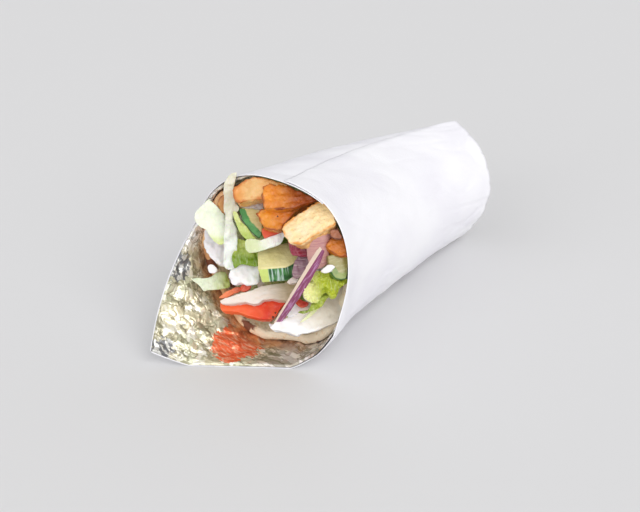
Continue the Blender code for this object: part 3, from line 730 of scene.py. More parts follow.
def edge_distance(points, outline):
    """How far each flat point lies from the outline."""
    best = np.full(len(points), FAR_OFF)
    for i in range(len(outline)):
        a = np.array(outline[i])
        b = np.array(outline[(i + 1) % len(outline)])
        run = b - a
        t = np.clip(((points - a) @ run) / max(run @ run, 1e-9), 0.0, 1.0)
        best = np.minimum(best, np.linalg.norm(points - a - t[:, None] * run, axis=1))
    return best


def inside_paper(p, gap=1.2):
    """The point, drawn in so that it stays inside the roll."""
    degrees, depth = angle_and_depth(p)
    if depth < gap and p.y > mouth_edge(degrees) - 0.5:
        return roll_point(degrees, p.y, gap)
    return p


def cut_piece(name, at, face, outline, depth, finish, slot, *nodes, run=LEVEL, voxel=0.5, steps=1, soften=2,
              back=0.9, bend=None, relief=(0.0, 3.0), rind=None, keep_in=True):
    """A solid cut back from a drawn outline, remeshed finely, softened, roughened, bent and set in place.

    Its points keep their drawn place as the attribute "spot", and "edge" is how far they lie from the
    sharp edges of the front face. relief is the height and the size of its lumps, back is how large the
    back face is against the front, and rind is the range of outline points that carry skin."""
    shape = rounded_outline(outline, steps) if steps > 1 else [Vector(p) for p in outline]
    middle = sum(shape, Vector((0.0, 0.0))) / len(shape)
    bm = bmesh.new()
    front = bm.faces.new([bm.verts.new((p.x, p.y, 0.0)) for p in shape])
    cut_back = bmesh.ops.extrude_face_region(bm, geom=[front])["geom"]
    for v in [part for part in cut_back if isinstance(part, bmesh.types.BMVert)]:
        v.co = Vector((middle.x + (v.co.x - middle.x) * back, middle.y + (v.co.y - middle.y) * back, -depth))
    bmesh.ops.recalc_face_normals(bm, faces=bm.faces)
    rough = bpy.data.meshes.new(name + "_rough")
    bm.to_mesh(rough)
    bm.free()
    holder = bpy.data.objects.new(name + "_rough", rough)
    bpy.context.scene.collection.objects.link(holder)
    fine = holder.modifiers.new("fine", "REMESH")
    fine.mode = "VOXEL"
    fine.voxel_size = voxel
    graph = bpy.context.evaluated_depsgraph_get()
    bm = bmesh.new()
    bm.from_mesh(holder.evaluated_get(graph).to_mesh())
    bpy.data.objects.remove(holder, do_unlink=True)
    for _ in range(soften):
        bmesh.ops.smooth_vert(
            bm, verts=bm.verts, factor=0.5, use_axis_x=True, use_axis_y=True, use_axis_z=True
        )
    bm.normal_update()
    flat = np.array([v.co[:] for v in bm.verts])
    corners = [tuple(p) for p in shape]
    from_edge = np.maximum(edge_distance(flat[:, :2], corners), -flat[:, 2])
    amount, size = relief
    x_way, y_way, z_way = frame_of(run, face)
    turn = Matrix((x_way, y_way, z_way)).transposed()
    seed = sum(ord(letter) for letter in name) * 0.37
    for index, v in enumerate(bm.verts):
        p = v.co.copy()
        lumps = wavy(p.x / size + seed, p.y / size, p.z / size)
        lumps += 0.5 * wavy(p.x * 2.3 / size, p.y * 2.3 / size + seed, p.z * 2.3 / size)
        p += v.normal * amount * lumps
        if bend:
            p.z += bend(p.x, p.y, from_edge[index])
        p = Vector(at) + turn @ p
        v.co = inside_paper(p) if keep_in else p
    piece = new_piece(name, bm, finish, slot, *nodes)
    stored = piece.data.attributes
    stored.new("spot", "FLOAT_VECTOR", "POINT").data.foreach_set("vector", flat.ravel())
    stored.new("edge", "FLOAT", "POINT").data.foreach_set("value", from_edge)
    if rind:
        skin_line = corners[rind[0] * steps : rind[1] * steps + 1]
        from_rind = np.full(len(flat), FAR_OFF)
        for pair in zip(skin_line, skin_line[1:]):
            from_rind = np.minimum(from_rind, edge_distance(flat[:, :2], pair))
        stored.new("rind", "FLOAT", "POINT").data.foreach_set("value", from_rind)
    return piece


def spot_of(tree):
    """Where a point lies in the drawing of its own piece, in millimetres."""
    return attribute_of(tree, "spot", "Vector")


def fried_finish(name, left, right, across, blotch, brown, browning, sides=None):
    """Fried potato. Its colour goes from left to right between two drawn X values, with blotches on it.
    browning says how far in from the edges, in millimetres, the brown reaches."""
    made, tree, shader, where = start_finish(
        name, Roughness=0.36, Subsurface_Weight=0.1, Subsurface_Radius=(0.004, 0.002, 0.001)
    )
    axes = axes_of(tree, spot_of(tree))
    wobble = sums(tree, "MULTIPLY", patch_mask(tree, where, 240.0, 0.3, 0.7, 4.0), 0.8 * browning)
    from_edge = sums(tree, "ADD", attribute_of(tree, "edge"), wobble)
    crisp = between(tree, from_edge, browning * 1.4, browning * 0.3)
    colour = blend(tree, between(tree, axes["X"], *across), left, right)
    if sides:
        colour = blend(tree, between(tree, axes["Z"], -0.6, -2.2), colour, sides)
    colour = cover(tree, patch_mask(tree, where, 130.0, 0.42, 0.62), 0.55, colour, blotch)
    colour = blend(tree, patch_mask(tree, where, 360.0, 0.60, 0.74), colour, blotch)
    colour = blend(tree, crisp, colour, brown)
    specks = patch_mask(tree, where, 700.0, 0.75, 0.79, 1.0)
    colour = cover(tree, specks, 0.7, colour, tint(110, 58, 24))
    dress(tree, shader, colour, patch_mask(tree, where, 300.0, 0.3, 0.7, 5.0), 0.45, 0.0008)
    return made


tan_fry = fried_finish(
    "tan_fry", tint(236, 152, 70), tint(222, 178, 116), (-14.0, -8.0),
    tint(214, 148, 76), tint(190, 108, 42), 1.4,
)
brown_fry = fried_finish(
    "brown_fry", tint(240, 154, 46), tint(160, 74, 20), (-9.0, 7.0),
    tint(196, 104, 26), tint(134, 58, 14), 1.2,
)
orange_fry = fried_finish(
    "orange_fry", tint(222, 142, 38), tint(198, 110, 26), (-4.0, 7.0),
    tint(196, 106, 24), tint(158, 72, 16), 1.0,
)
gold_fry = fried_finish(
    "gold_fry", tint(255, 236, 196), tint(255, 226, 172), (-6.0, 10.0),
    tint(253, 214, 146), tint(232, 154, 66), 1.5,
    sides=tint(224, 162, 92),
)
cut_piece(
    "long_pale_fry", (4.5, -51.0, 79.0), (-0.15, -0.85, 0.5),
    [(-15, 5), (-14, 6.5), (-11, 8), (-8, 9.5), (-5, 10.5), (-1.5, 10), (4, 8), (10, 5.5), (10, 0.5),
     (3.5, -0.5), (-2, 0), (-8, -0.5), (-11.5, -1), (-13.5, -0.5), (-14.5, 2)],
    11.0, tan_fry, "fried_potato", "fry_left", relief=(0.45, 2.6), soften=4,
)
cut_piece(
    "brown_fry", (14.0, -50.0, 75.5), (-0.1, -0.8, 0.6),
    [(-10, 8), (-9.5, 11.5), (-6.5, 12.5), (-2, 12), (1.5, 11), (7.5, 7.5), (14.5, 3), (7.5, 1.5),
     (3, 0), (-3.5, 0), (-9.5, 1), (-10, 5)],
    12.0, brown_fry, "fried_potato", "fry_brown", relief=(0.5, 2.2),
)
cut_piece(
    "orange_fry", (8.5, -52.5, 69.5), (-0.25, -0.85, 0.45),
    [(-7.5, 4), (-5, 6), (-1, 6.5), (4, 6.5), (9, 6), (10, 4), (7, 0.5), (4.5, -2), (3.5, -4),
     (1.5, -4.5), (-1.5, -4), (-4.5, -2.5), (-6, 0.5)],
    8.0, orange_fry, "fried_potato", "fry_orange", relief=(0.5, 1.9),
)
cut_piece(
    "gold_wedge", (26.5, -52.0, 69.5), (-0.3, -0.72, 0.62),
    [(-11, 5.5), (-8.5, 8), (-4.5, 9.5), (0.5, 10.5), (7, 12), (9.5, 12), (12, 8.5), (14, 5), (14, 0.5),
     (13.5, -3), (12, -4.5), (7.5, -5), (1.5, -5.5), (-3.5, -7), (-5, -7), (-6.5, -5.5), (-9.5, -3.5),
     (-10.5, 1)],
    8.5, gold_fry, "fried_potato", "fry_big", run=(0.72, 0.60, 0.34), relief=(0.45, 2.6), back=0.74,
)
cut_piece(
    "right_fry", (37.0, -50.0, 62.0), (0.2, -0.85, 0.45),
    [(-1.5, 1.5), (1.5, 3.5), (4.5, 3.5), (9, 2.5), (9, -1.5), (7.5, -6.5), (3, -5.5), (0.5, -3.5),
     (-1, -1)],
    14.0, orange_fry, "fried_potato", "fry_right", run=(0.55, 0.83, 0.1), relief=(0.4, 2.0),
)


# Cucumber: a thick chunk, a slice on edge and a wedge, cut fresh. The flesh is pale and wet with faint rays
# of seeds, and the skin is dark green. The chunk shows its skin below the cut, with painted highlight
# stripes on it. The flesh of the slice and of the wedge is painted darker, as shade.
def cucumber_finish(name, flesh, deeper, skin, skin_shade, glints=0.0):
    """The skin's place is drawn by the piece: "rind" on a slice, or everything below a chunk's top."""
    made, tree, shader, where = start_finish(name, Roughness=0.3, Coat_Weight=0.25, Coat_Roughness=0.12)
    spot = spot_of(tree)
    axes = axes_of(tree, spot)
    meat = blend(tree, patch_mask(tree, where, 150.0, 0.35, 0.7), flesh, deeper)
    rays = patch_mask(tree, stretched(tree, spot, (0.25, 1.4, 1.0)), 0.55, 0.45, 0.7)
    meat = cover(tree, rays, 0.2, meat, tint(240, 238, 200))
    peel = blend(tree, patch_mask(tree, where, 260.0), skin, skin_shade)
    if glints:
        # Painted highlight: pale glinting stripes on the chunk's skin.
        highlight_stripes = patch_mask(tree, stretched(tree, spot, (0.85, 0.05, 0.05)), 1.0, 0.50, 0.60, 2.0)
        shown = between(tree, axes["X"], 7.0, 3.0)
        peel = cover(tree, highlight_stripes, sums(tree, "MULTIPLY", shown, glints), peel, tint(214, 240, 232))
        peel = blend(tree, between(tree, axes["X"], -4.2, -4.8), peel, tint(222, 244, 134))
        covered = between(tree, axes["Z"], -0.5, -0.8)
    else:
        far = attribute_of(tree, "rind")
        peel = blend(tree, between(tree, far, 0.9, 0.2), peel, tint(44, 92, 34))
        ragged = sums(tree, "MULTIPLY", patch_mask(tree, where, 300.0), 0.4)
        covered = between(tree, sums(tree, "ADD", far, ragged), 3.6, 3.0)
    wet = patch_mask(tree, where, 500.0, 0.3, 0.7)
    dress(tree, shader, blend(tree, covered, meat, peel), wet, 0.3, 0.0004)
    return made


cut_piece(
    "cucumber_chunk", (10.5, -55.0, 49.0), (0.02, -0.45, 0.90),
    [(-9, 9), (-6, 10), (-3.5, 11), (1.5, 13), (5.5, 13.5), (11, 10), (11.5, 6.5), (9, 3), (7, 1),
     (3.5, -1), (-2, -1), (-7.5, -1), (-9, -1)],
    10.5,
    cucumber_finish(
        "cucumber_chunk", tint(236, 226, 166), tint(216, 206, 136), tint(28, 104, 52), tint(74, 150, 80), 0.9
    ),
    "cucumber", "cucumber_front", voxel=0.4, relief=(0.1, 3.0),
)
cut_piece(
    "cucumber_slice", (-4.5, -53.5, 64.5), (0.05, -0.9, 0.42),
    [(-4.5, 7.5), (-3.5, 8.5), (-2, 8.5), (1.5, 9), (6, 8), (6, 3.5), (5.5, -0.5), (5, -4), (3.5, -6),
     (2, -4.5), (0, -2.5), (-2, 0.5), (-3.5, 3), (-4, 5.5)],
    6.0,
    # The slice's flesh is painted darker and browner, as shade.
    cucumber_finish(
        "cucumber_slice", tint(206, 188, 126), tint(190, 172, 106), tint(74, 148, 72), tint(48, 122, 44)
    ),
    "cucumber", "cucumber_left", voxel=0.4, rind=(8, 13), relief=(0.1, 3.0),
)
cut_piece(
    "cucumber_wedge", (40.5, -52.0, 52.0), (0.35, -0.85, 0.40),
    [(-1.5, 7.5), (1.5, 7.5), (4.5, 5.5), (8, 4.5), (8, -0.5), (5, -5.0), (1, -4.5), (-1.5, -3),
     (-2.5, 0.5), (-2, 4.5)],
    9.0,
    # The wedge's flesh is painted dark olive, as shade.
    cucumber_finish(
        "cucumber_wedge", tint(152, 140, 72), tint(132, 132, 60), tint(132, 148, 60), tint(100, 130, 46)
    ),
    "cucumber", "cucumber_right", run=(0.55, 0.83, 0.1), voxel=0.45, rind=(5, 8), relief=(0.1, 3.0),
)


# Tomato: a large slice low in the mouth and a bit behind the fries. The flesh is red, wet and slightly
# see-through, and paler towards its left end.
def tomato_finish(name, first, second, across):
    """Red flesh. Its colour goes from first to second between two drawn X values."""
    made, tree, shader, where = start_finish(
        name,
        Roughness=0.38,
        Coat_Weight=0.12,
        Subsurface_Weight=0.15,
        Subsurface_Radius=(0.004, 0.0012, 0.0006),
    )
    axes = axes_of(tree, spot_of(tree))
    colour = blend(tree, between(tree, axes["X"], *across), first, second)
    colour = cover(tree, patch_mask(tree, where, 170.0), 0.25, colour, tint(250, 136, 76))
    dress(tree, shader, colour, patch_mask(tree, where, 380.0, 0.3, 0.7), 0.25, 0.0004)
    return made


cut_piece(
    "tomato_slice", (-7.5, -57.5, 23.5), (-0.15, -0.80, 0.58),
    [(-13, 4), (-8.5, 4), (-1.5, 4), (2.5, 3), (5, 3), (7.5, 4.5), (11, 5), (15, 3.5), (17.5, 2.5),
     (14.5, -1), (12.5, -4), (10.5, -5.6), (6, -5.2), (1.5, -3.8), (-2, -2.4), (-4.5, -1), (-8.5, -0.2),
     (-12.5, 0.2), (-13, 2)],
    6.0, tomato_finish("tomato_slice", tint(244, 104, 52), tint(228, 56, 22), (-8.0, 6.0)),
    "tomato", "tomato_front", relief=(0.2, 3.5), soften=3,
)
cut_piece(
    "tomato_bit", (6.5, -54.0, 60.8), (0.0, -0.85, 0.5),
    [(-3, 5.5), (0.5, 5), (4.5, 4.5), (5.5, 3), (3.5, 2), (1, 1.5), (-2.5, 0.5), (-3.5, 3.5)],
    6.0, tomato_finish("tomato_bit", tint(214, 78, 42), tint(196, 62, 34), (-3.0, 5.0)),
    "tomato", "tomato_back", voxel=0.4,
)


# Meat: a thin slice, carved along its fibres, that lies along the top of the tomato. It is pale and moist,
# and tan towards its right end.
meat_finish, tree, shader, where = start_finish(
    "pale_meat", Roughness=0.45, Subsurface_Weight=0.15, Subsurface_Radius=(0.003, 0.002, 0.0015)
)
axes = axes_of(tree, spot_of(tree))
colour = blend(tree, between(tree, axes["X"], 4.0, 17.0), tint(232, 219, 212), tint(206, 182, 144))
fibre = patch_mask(tree, stretched(tree, where, (0.5, 0.5, 2.0)), 330.0, 0.4, 0.7, 4.0)
colour = cover(tree, fibre, 0.5, colour, tint(222, 200, 178))
dress(tree, shader, colour, fibre, 0.35, 0.0005)
cut_piece(
    "meat_slice", (-5.0, -54.5, 32.5), (-0.2, -0.85, 0.48),
    [(-16.5, -3.5), (-14, -2.5), (-10.5, -1.5), (-6.5, -0.5), (-3, 0), (0, 1), (3, 2), (9, 2.5),
     (14, 3), (19.5, 3), (21, 0.5), (19.5, -4), (16.5, -6), (14, -6), (7.5, -4.5), (4, -4.5), (1.5, -6),
     (-1, -6.5), (-5, -5), (-11.5, -5.5), (-16, -5)],
    7.0, meat_finish, "chicken", "chicken_slice", relief=(0.3, 3.0), soften=3,
)


# Onion and cabbage: thin curved cuts, purple or crimson on the skin side and pale pink where cut. The long
# purple strip stands on end in front of the salad, and a pink layer and a dark shred lie behind it.
def onion_finish(name, skin, pale, glint, pale_band, roughness=0.25):
    """pale_band is the drawn height from which the cut edge shows."""
    made, tree, shader, where = start_finish(name, Roughness=roughness, Coat_Weight=0.4, Coat_Roughness=0.15)
    spot = spot_of(tree)
    axes = axes_of(tree, spot)
    # Stripes in the glint colour, which is a painted glint on most pieces and a darker streak on the pink
    # layer.
    lines = patch_mask(tree, stretched(tree, spot, (0.14, 1.3, 1.0)), 1.0, 0.46, 0.66)
    colour = cover(tree, lines, 0.6, skin, glint)
    colour = blend(tree, between(tree, axes["Y"], pale_band - 0.12, pale_band + 0.12), colour, pale)
    dress(tree, shader, colour, lines, 0.3, 0.0004)
    return made


def bowed(x, y, edge):
    """The purple strip's bend: a ridge along it, and its upper end leaning in."""
    return -0.55 * abs(y + 3.4) - 0.002 * max(0.0, x) ** 2


def rounded_back(x, y, edge):
    """The pink layer's bend, away from the viewer at both sides."""
    return -0.06 * (x - 1.0) ** 2


cut_piece(
    "purple_strip", (19.0, -63.5, 39.5), (0.3, -0.9, 0.1),
    [(-18, -2.4), (-18, -5.2), (-9.5, -5.9), (4, -6.4), (17, -6.4), (27, -5.9), (35, -4.6), (35, -1.6),
     (27.5, -1.3), (14, -1.7), (-0.5, -2.2), (-10.5, -2.2)],
    2.4, onion_finish("purple_onion", tint(136, 56, 98), tint(236, 212, 192), tint(206, 150, 200), -3.3),
    "red_onion", "onion_strip", run=(0.57, -0.02, 0.82), voxel=0.3, back=0.8, bend=bowed, keep_in=False,
)
cut_piece(
    "pink_layer", (31.6, -53.6, 57.4), (0.35, -0.92, 0.15),
    [(-4, 8.5), (-1, 10.5), (5, 12), (8, 12.5), (10, 10), (7, 7.5), (5, 5), (5.5, 2), (6, -0.5),
     (5.5, -3.5), (1.5, -5.5), (-1.5, -6), (-3.5, -4.5), (-4, 0), (-4, 4.5)],
    2.2, onion_finish("pink_onion", tint(198, 148, 142), tint(214, 176, 166), tint(170, 112, 124), 30.0),
    "red_onion", "onion_layer", voxel=0.35, bend=rounded_back, relief=(0.2, 3.0),
)
cabbage_finish = onion_finish("red_cabbage", tint(136, 14, 50), tint(120, 10, 46), tint(176, 40, 80), 30.0)
cut_piece(
    "crimson_shred", (20.2, -56.0, 56.0), (0.1, -0.9, 0.40),
    [(-1.5, 7.5), (3, 8.5), (6, 9), (8.5, 8.5), (8.5, 2.5), (7.5, -0.5), (5, -0.5), (3, 0), (0, 0.5),
     (-1, 2.5)],
    3.0, cabbage_finish, "red_cabbage", "cabbage_shred", voxel=0.35, relief=(0.3, 1.6),
)


# Lettuce: torn pieces of leaf, tucked in round the mouth. The ribs are crisp and almost white, and the thin
# leaf is ruffled, from pale to a fresh green at the frills.
def leaf_finish(name, pale, green, start, end, way="X"):
    """The colour goes from pale to green along the drawn X or Y, from start to end in millimetres."""
    made, tree, shader, where = start_finish(
        name, Roughness=0.36, Coat_Weight=0.2, Subsurface_Weight=0.2, Subsurface_Radius=(0.002, 0.003, 0.001)
    )
    spot = spot_of(tree)
    axes = axes_of(tree, spot)
    uneven = sums(tree, "MULTIPLY", patch_mask(tree, where, 170.0, 0.3, 0.7, 4.0), 0.35 * abs(end - start))
    if end < start:
        uneven = sums(tree, "MULTIPLY", uneven, -1.0)
    reach = between(tree, sums(tree, "ADD", axes[way], uneven), start, end)
    colour = blend(tree, reach, pale, green)
    # Light streaks: partly the leaf's veins and partly painted highlight.
    veins_and_highlights = patch_mask(tree, stretched(tree, spot, (1.5, 0.22, 0.3), (0.0, 0.0, 0.5)), 1.0, 0.5, 0.72, 4.0)
    colour = cover(tree, veins_and_highlights, 0.28, colour, tint(240, 244, 226))
    folds = patch_mask(tree, stretched(tree, spot, (0.5, 0.16, 0.3), (0.0, 0.0, 0.3)), 1.0, 0.55, 0.7, 3.0)
    colour = cover(tree, folds, 0.3, colour, green)
    grain = patch_mask(tree, where, 330.0, 0.3, 0.7, 4.0)
    dress(tree, shader, colour, sums(tree, "ADD", sums(tree, "MULTIPLY", veins_and_highlights, 0.6), grain), 0.5, 0.0005)
    return made


def ruffle(height, size, seed, curl=0.0):
    """A bend for a leaf: waves that grow towards its edge, and a curl across it."""

    def lifted(x, y, edge):
        wave = wavy(x / size + seed, y / size, seed) + 0.5 * wavy(x * 2.2 / size, y * 2.2 / size + seed, 1.0)
        return height * wave * (0.5 + math.exp(-edge / 2.0)) - curl * y * y

    return lifted


def leaf(name, at, face, outline, depth, colours, slot, *nodes, voxel=0.3, steps=3, **shape):
    """A thin piece of lettuce in its own finish. colours are what leaf_finish takes after the name."""
    finish = leaf_finish(name, *colours)
    cut_piece(name, at, face, outline, depth, finish, slot, *nodes, voxel=voxel, steps=steps, **shape)


leaf(
    "tall_rib", (-14.5, -56.0, 63.5), (0.2, -0.97, 0.1),
    [(-1, 19), (1, 22.5), (3.2, 24.2), (5.5, 24.2), (4.8, 21.5), (3.8, 18.5), (3.2, 15), (3.8, 10.5),
     (5.4, 8), (3.6, 6), (1.8, 3.5), (2.4, 0.5), (3.2, -3.5), (2.4, -10.5), (1.6, -15.5), (0.4, -20.5),
     (-3, -21.5), (-4.9, -18.5), (-3.8, -11), (-3.2, -4.5), (-1.8, 3.5), (-2, 8), (-1.4, 14)],
    1.8, (tint(240, 244, 238), tint(222, 220, 200), -6.0, 10.0, "Y"),
    "lettuce_pale", "rib_tall", voxel=0.32, soften=5, relief=(0.2, 3.0), bend=ruffle(0.9, 4.5, 12.0, 0.004),
    keep_in=False,
)
leaf(
    "left_leaf", (-24.5, -57.0, 62.5), (0.10, -0.9, 0.40),
    [(-0.5, 11.5), (2, 9.5), (5, 6), (7, 2.5), (7.5, -2), (7, -6.5), (4.5, -9.5), (1.5, -8.5),
     (-1, -5.5), (-3, -2), (-5.5, -0.5), (-7.5, 2.5), (-7, 6), (-4.5, 8.5), (-2.5, 10)],
    1.6, (tint(204, 216, 108), tint(236, 241, 220), -9.0, -2.0, "Y"),
    "lettuce_pale", "leaf_left", bend=ruffle(1.1, 5.0, 1.0, -0.02), keep_in=False,
)
leaf(
    "low_leaf", (-34.0, -59.5, 29.8), (0.1, -0.8, 0.6),
    [(-4, 3.5), (-2, 4.5), (2, 4), (5.5, 4.5), (7.5, 6), (11.5, 6.5), (13, 4), (14, -1), (10.5, -2),
     (6, -2), (3, -2), (1.5, -2.5), (-1, 1)],
    1.8, (tint(222, 230, 204), tint(178, 192, 96), 6.0, 14.0),
    "lettuce_pale", "leaf_low", bend=ruffle(0.9, 4.0, 3.0), keep_in=False,
)
leaf(
    "mid_leaf", (-9.5, -53.5, 50.5), (0.1, -0.9, 0.4),
    [(-5, 7.5), (-2, 6.5), (1, 5), (3.5, 2), (6, -0.5), (6.5, -4), (5.5, -7), (2, -6.5), (-2, -5.5),
     (-5.5, -7), (-6, -1), (-5.5, 3.5)],
    1.6, (tint(204, 214, 108), tint(120, 150, 8), 3.0, -5.0, "Y"),
    "lettuce_green", "leaf_mid", bend=ruffle(1.4, 3.6, 4.0),
)
leaf(
    "curled_rib", (1.5, -58.5, 57.8), (0.1, -0.85, 0.5),
    [(-4.5, 3), (-3, 4), (-1, 4), (2.5, 3), (5, 4), (8.5, 5), (12, 6), (13.5, 5), (13, 3), (11.5, 0.5),
     (8.5, -0.5), (6.5, -1), (2.5, -2), (-0.5, -2.5), (-3, -2.5), (-4.5, -0.5)],
    3.0, (tint(206, 216, 168), tint(240, 244, 240), 0.0, 9.0),
    "lettuce_pale", "rib_curl", voxel=0.35, soften=5, bend=ruffle(0.5, 4.0, 5.0), keep_in=False,
)
leaf(
    "right_leaf", (32.0, -57.0, 43.5), (0.4, -0.8, 0.45),
    [(-2.5, 6.5), (0, 7.5), (3, 8), (8.5, 7), (10, 5), (12, 4), (14.5, 4), (14.5, 1.5), (11.5, 0),
     (10, -2.5), (9, -4.5), (6.5, -5), (5, -2), (2.5, -3.5), (1, -6), (-2, -6), (-5, -3.5), (-5.5, 0),
     (-4, 2), (-1.5, 3.5)],
    1.6, (tint(240, 238, 178), tint(182, 194, 56), -4.0, 6.0),
    "lettuce_green", "leaf_right", bend=ruffle(2.8, 2.9, 6.0),
)
leaf(
    "right_shred", (25.5, -56.0, 29.5), (0.5, -0.8, 0.3),
    [(10.5, 11), (11, 10), (9, 6.5), (6, 2), (2, -1.5), (-2, -4), (-3.5, -4), (-0.5, -1.5), (3.5, 2),
     (6.5, 5.5), (8.5, 9)],
    1.4, (tint(238, 240, 196), tint(214, 222, 150), -2.0, 10.0),
    "lettuce_pale", "shred_right", voxel=0.25, steps=2, keep_in=False,
)


# Sauce: thick white dressing, spooned over the salad in three places. It is smooth and a little glossy, with
# patches of faint lilac grey painted as shade.
sauce_finish, tree, shader, where = start_finish(
    "white_sauce", Roughness=0.3, Subsurface_Weight=0.3, Subsurface_Radius=(0.003, 0.0025, 0.002)
)
# Painted shade: faint lilac-grey patches on the white.
colour = blend(tree, patch_mask(tree, where, 90.0, 0.35, 0.7), tint(250, 249, 249), tint(236, 230, 235))
dress(tree, shader, colour, patch_mask(tree, where, 260.0, 0.3, 0.7), 0.3, 0.0005)
cut_piece(
    "left_sauce", (-27.0, -55.5, 46.0), (0.0, -0.9, 0.4),
    [(-3, 11.5), (0, 12), (3.5, 8.5), (7.5, 8), (9.5, 4.5), (9, -4), (6.5, -6.5), (2.5, -4.5),
     (-1.5, -1), (-3.5, 2), (-4, 7)],
    8.0, sauce_finish, "sauce", "sauce_left", steps=3, soften=8, relief=(1.1, 4.0),
)
cut_piece(
    "middle_sauce", (-13.0, -55.5, 39.5), (0.0, -0.9, 0.4),
    [(-4.5, 0.5), (-2.5, 2.5), (1, 5), (5, 4), (9.5, 3.5), (9, -4), (7, -5.5), (5, -5.5), (2, -5),
     (0.5, -4.5), (-2, -5.5), (-4, -3)],
    7.0, sauce_finish, "sauce", "sauce_mid", steps=3, soften=7, relief=(0.8, 3.4),
)
cut_piece(
    "low_sauce", (16.0, -50.0, 16.5), (-0.1, -0.65, 0.75),
    [(-15, 4), (-11.5, 3), (-8, 4.5), (-3.5, 6), (0.5, 7), (5.5, 7.5), (10.5, 10.5), (14.5, 13.5),
     (18, 14.5), (16.5, 10), (13.5, 6), (9.5, 2), (4.5, -0.5), (0.5, -2), (-2, -3.5), (-5.5, -2.5),
     (-9, -0.5), (-13, 0)],
    4.0, sauce_finish, "sauce", "sauce_low", steps=3, soften=8, relief=(0.4, 4.0),
)


# Small bits that show between the large pieces: torn leaf, drops of sauce, shreds, crisp ends, and the
# creamy smear that covers the bread low at the right.
smear_finish, tree, shader, where = start_finish(
    "creamy_smear", Roughness=0.4, Subsurface_Weight=0.25, Subsurface_Radius=(0.003, 0.0025, 0.002)
)
axes = axes_of(tree, spot_of(tree))
low_white = between(tree, sums(tree, "ADD", axes["X"], axes["Y"]), 2.0, -16.0)
colour = blend(tree, low_white, tint(236, 227, 213), tint(247, 247, 250))
streaked = patch_mask(tree, stretched(tree, where, (0.6, 0.6, 1.6)), 150.0, 0.4, 0.7, 4.0)
colour = cover(tree, streaked, 0.5, colour, tint(228, 214, 194))
dress(tree, shader, colour, patch_mask(tree, where, 240.0, 0.3, 0.7), 0.3, 0.0005)
cut_piece(
    "creamy_smear", (27.5, -50.5, 26.0), (0.1, -0.8, 0.6),
    [(14, 17), (13.5, 9.5), (11.5, 1.5), (9, -3), (5, -4.8), (2, -5.8), (-3, -7.4), (-6.5, -7.8),
     (-9, -7.6), (-10.5, -9), (-14, -6.5), (-20, -5.4), (-22, -4), (-19.5, -1.5), (-13.5, 0.5), (-9, 5),
     (-3, 9), (3.5, 13), (9, 16)],
    5.0, smear_finish, "sauce", steps=2, soften=4, relief=(0.5, 5.0), bend=ruffle(0.8, 6.0, 2.0),
)
leaf(
    "olive_leaf", (31.0, -57.5, 36.0), (0.2, -0.85, 0.5),
    [(7.5, 9.5), (11.5, 10), (15, 10), (13.5, 7), (10.5, 5), (9.5, 2.5), (6, 2), (3.5, -1.5),
     (-0.5, -3), (-5, -4), (-7.5, -3), (-3, -2.5), (-0.5, 1), (2, 4.5), (4.5, 7.5)],
    1.4, (tint(128, 148, 44), tint(174, 188, 72), -5.0, 6.0), "lettuce_green",
    bend=ruffle(1.8, 2.8, 7.0),
)
leaf(
    "pale_lobe", (24.0, -60.0, 37.0), (0.1, -0.85, 0.5),
    [(5.5, 8.5), (7, 9.5), (10.5, 5), (9.5, 1.5), (7, -1), (4.5, -0.5), (2.5, 1.5), (3, 3.5), (5, 5.5)],
    2.6, (tint(242, 242, 232), tint(228, 220, 150), 3.0, 9.0, "Y"), "lettuce_pale",
    soften=5, bend=ruffle(0.7, 3.0, 8.0),
)
leaf(
    "green_shred", (-7.0, -57.0, 63.0), (0.05, -0.9, 0.42),
    [(-3.5, 8.5), (-1.5, 9), (0, 5), (2.5, 2), (5, -2), (6.5, -4), (3.5, -4.5), (1, -3), (-1, 0),
     (-2, 3)],
    1.4, (tint(216, 224, 150), tint(176, 196, 92), 8.0, -4.0, "Y"), "lettuce_pale",
    bend=ruffle(0.8, 3.0, 9.0),
)
leaf(
    "sheer_leaf", (17.0, -55.5, 21.0), (0.0, -0.8, 0.6),
    [(-7, 1.5), (-5, 4), (-1.5, 6), (2.5, 6), (5.5, 5.5), (4, 3), (1, 1.5), (-3, 0), (-6, -0.5)],
    1.4, (tint(214, 198, 146), tint(226, 214, 168), -6.0, 5.0), "lettuce_pale",
    bend=ruffle(0.6, 3.0, 11.0),
)
for name, at, face, outline, depth in (
    ("white_drop", (36.0, -60.0, 50.0), (0.1, -0.85, 0.5),
     [(1.5, 4), (3.5, 5.5), (5, 6.5), (7, 6.5), (8.5, 5.5), (7, 4), (6, 3.5), (4, 3)], 2.5),
    ("left_drop", (-31.0, -58.0, 37.0), (0.0, -0.85, 0.5),
     [(1, 3), (2.5, 4), (4.5, 3), (5.5, 1), (4, -0.5), (1.5, 0)], 2.5),
    ("lilac_smear", (17.5, -57.0, 27.0), (0.0, -0.8, 0.6),
     [(-2.5, -0.5), (-1, 3.5), (1, 5.5), (3.5, 5), (5.5, 3.5), (4, 1), (1, -0.5)], 2.5),
):
    cut_piece(
        name, at, face, outline, depth, sauce_finish, "sauce",
        voxel=0.35, steps=3, soften=4, relief=(0.3, 2.5),
    )
thin_red = tomato_finish("thin_tomato", tint(236, 134, 84), tint(220, 104, 66), (0.0, 9.0))
dark_red = tomato_finish("dark_tomato", tint(200, 60, 30), tint(186, 30, 18), (0.0, 5.0))
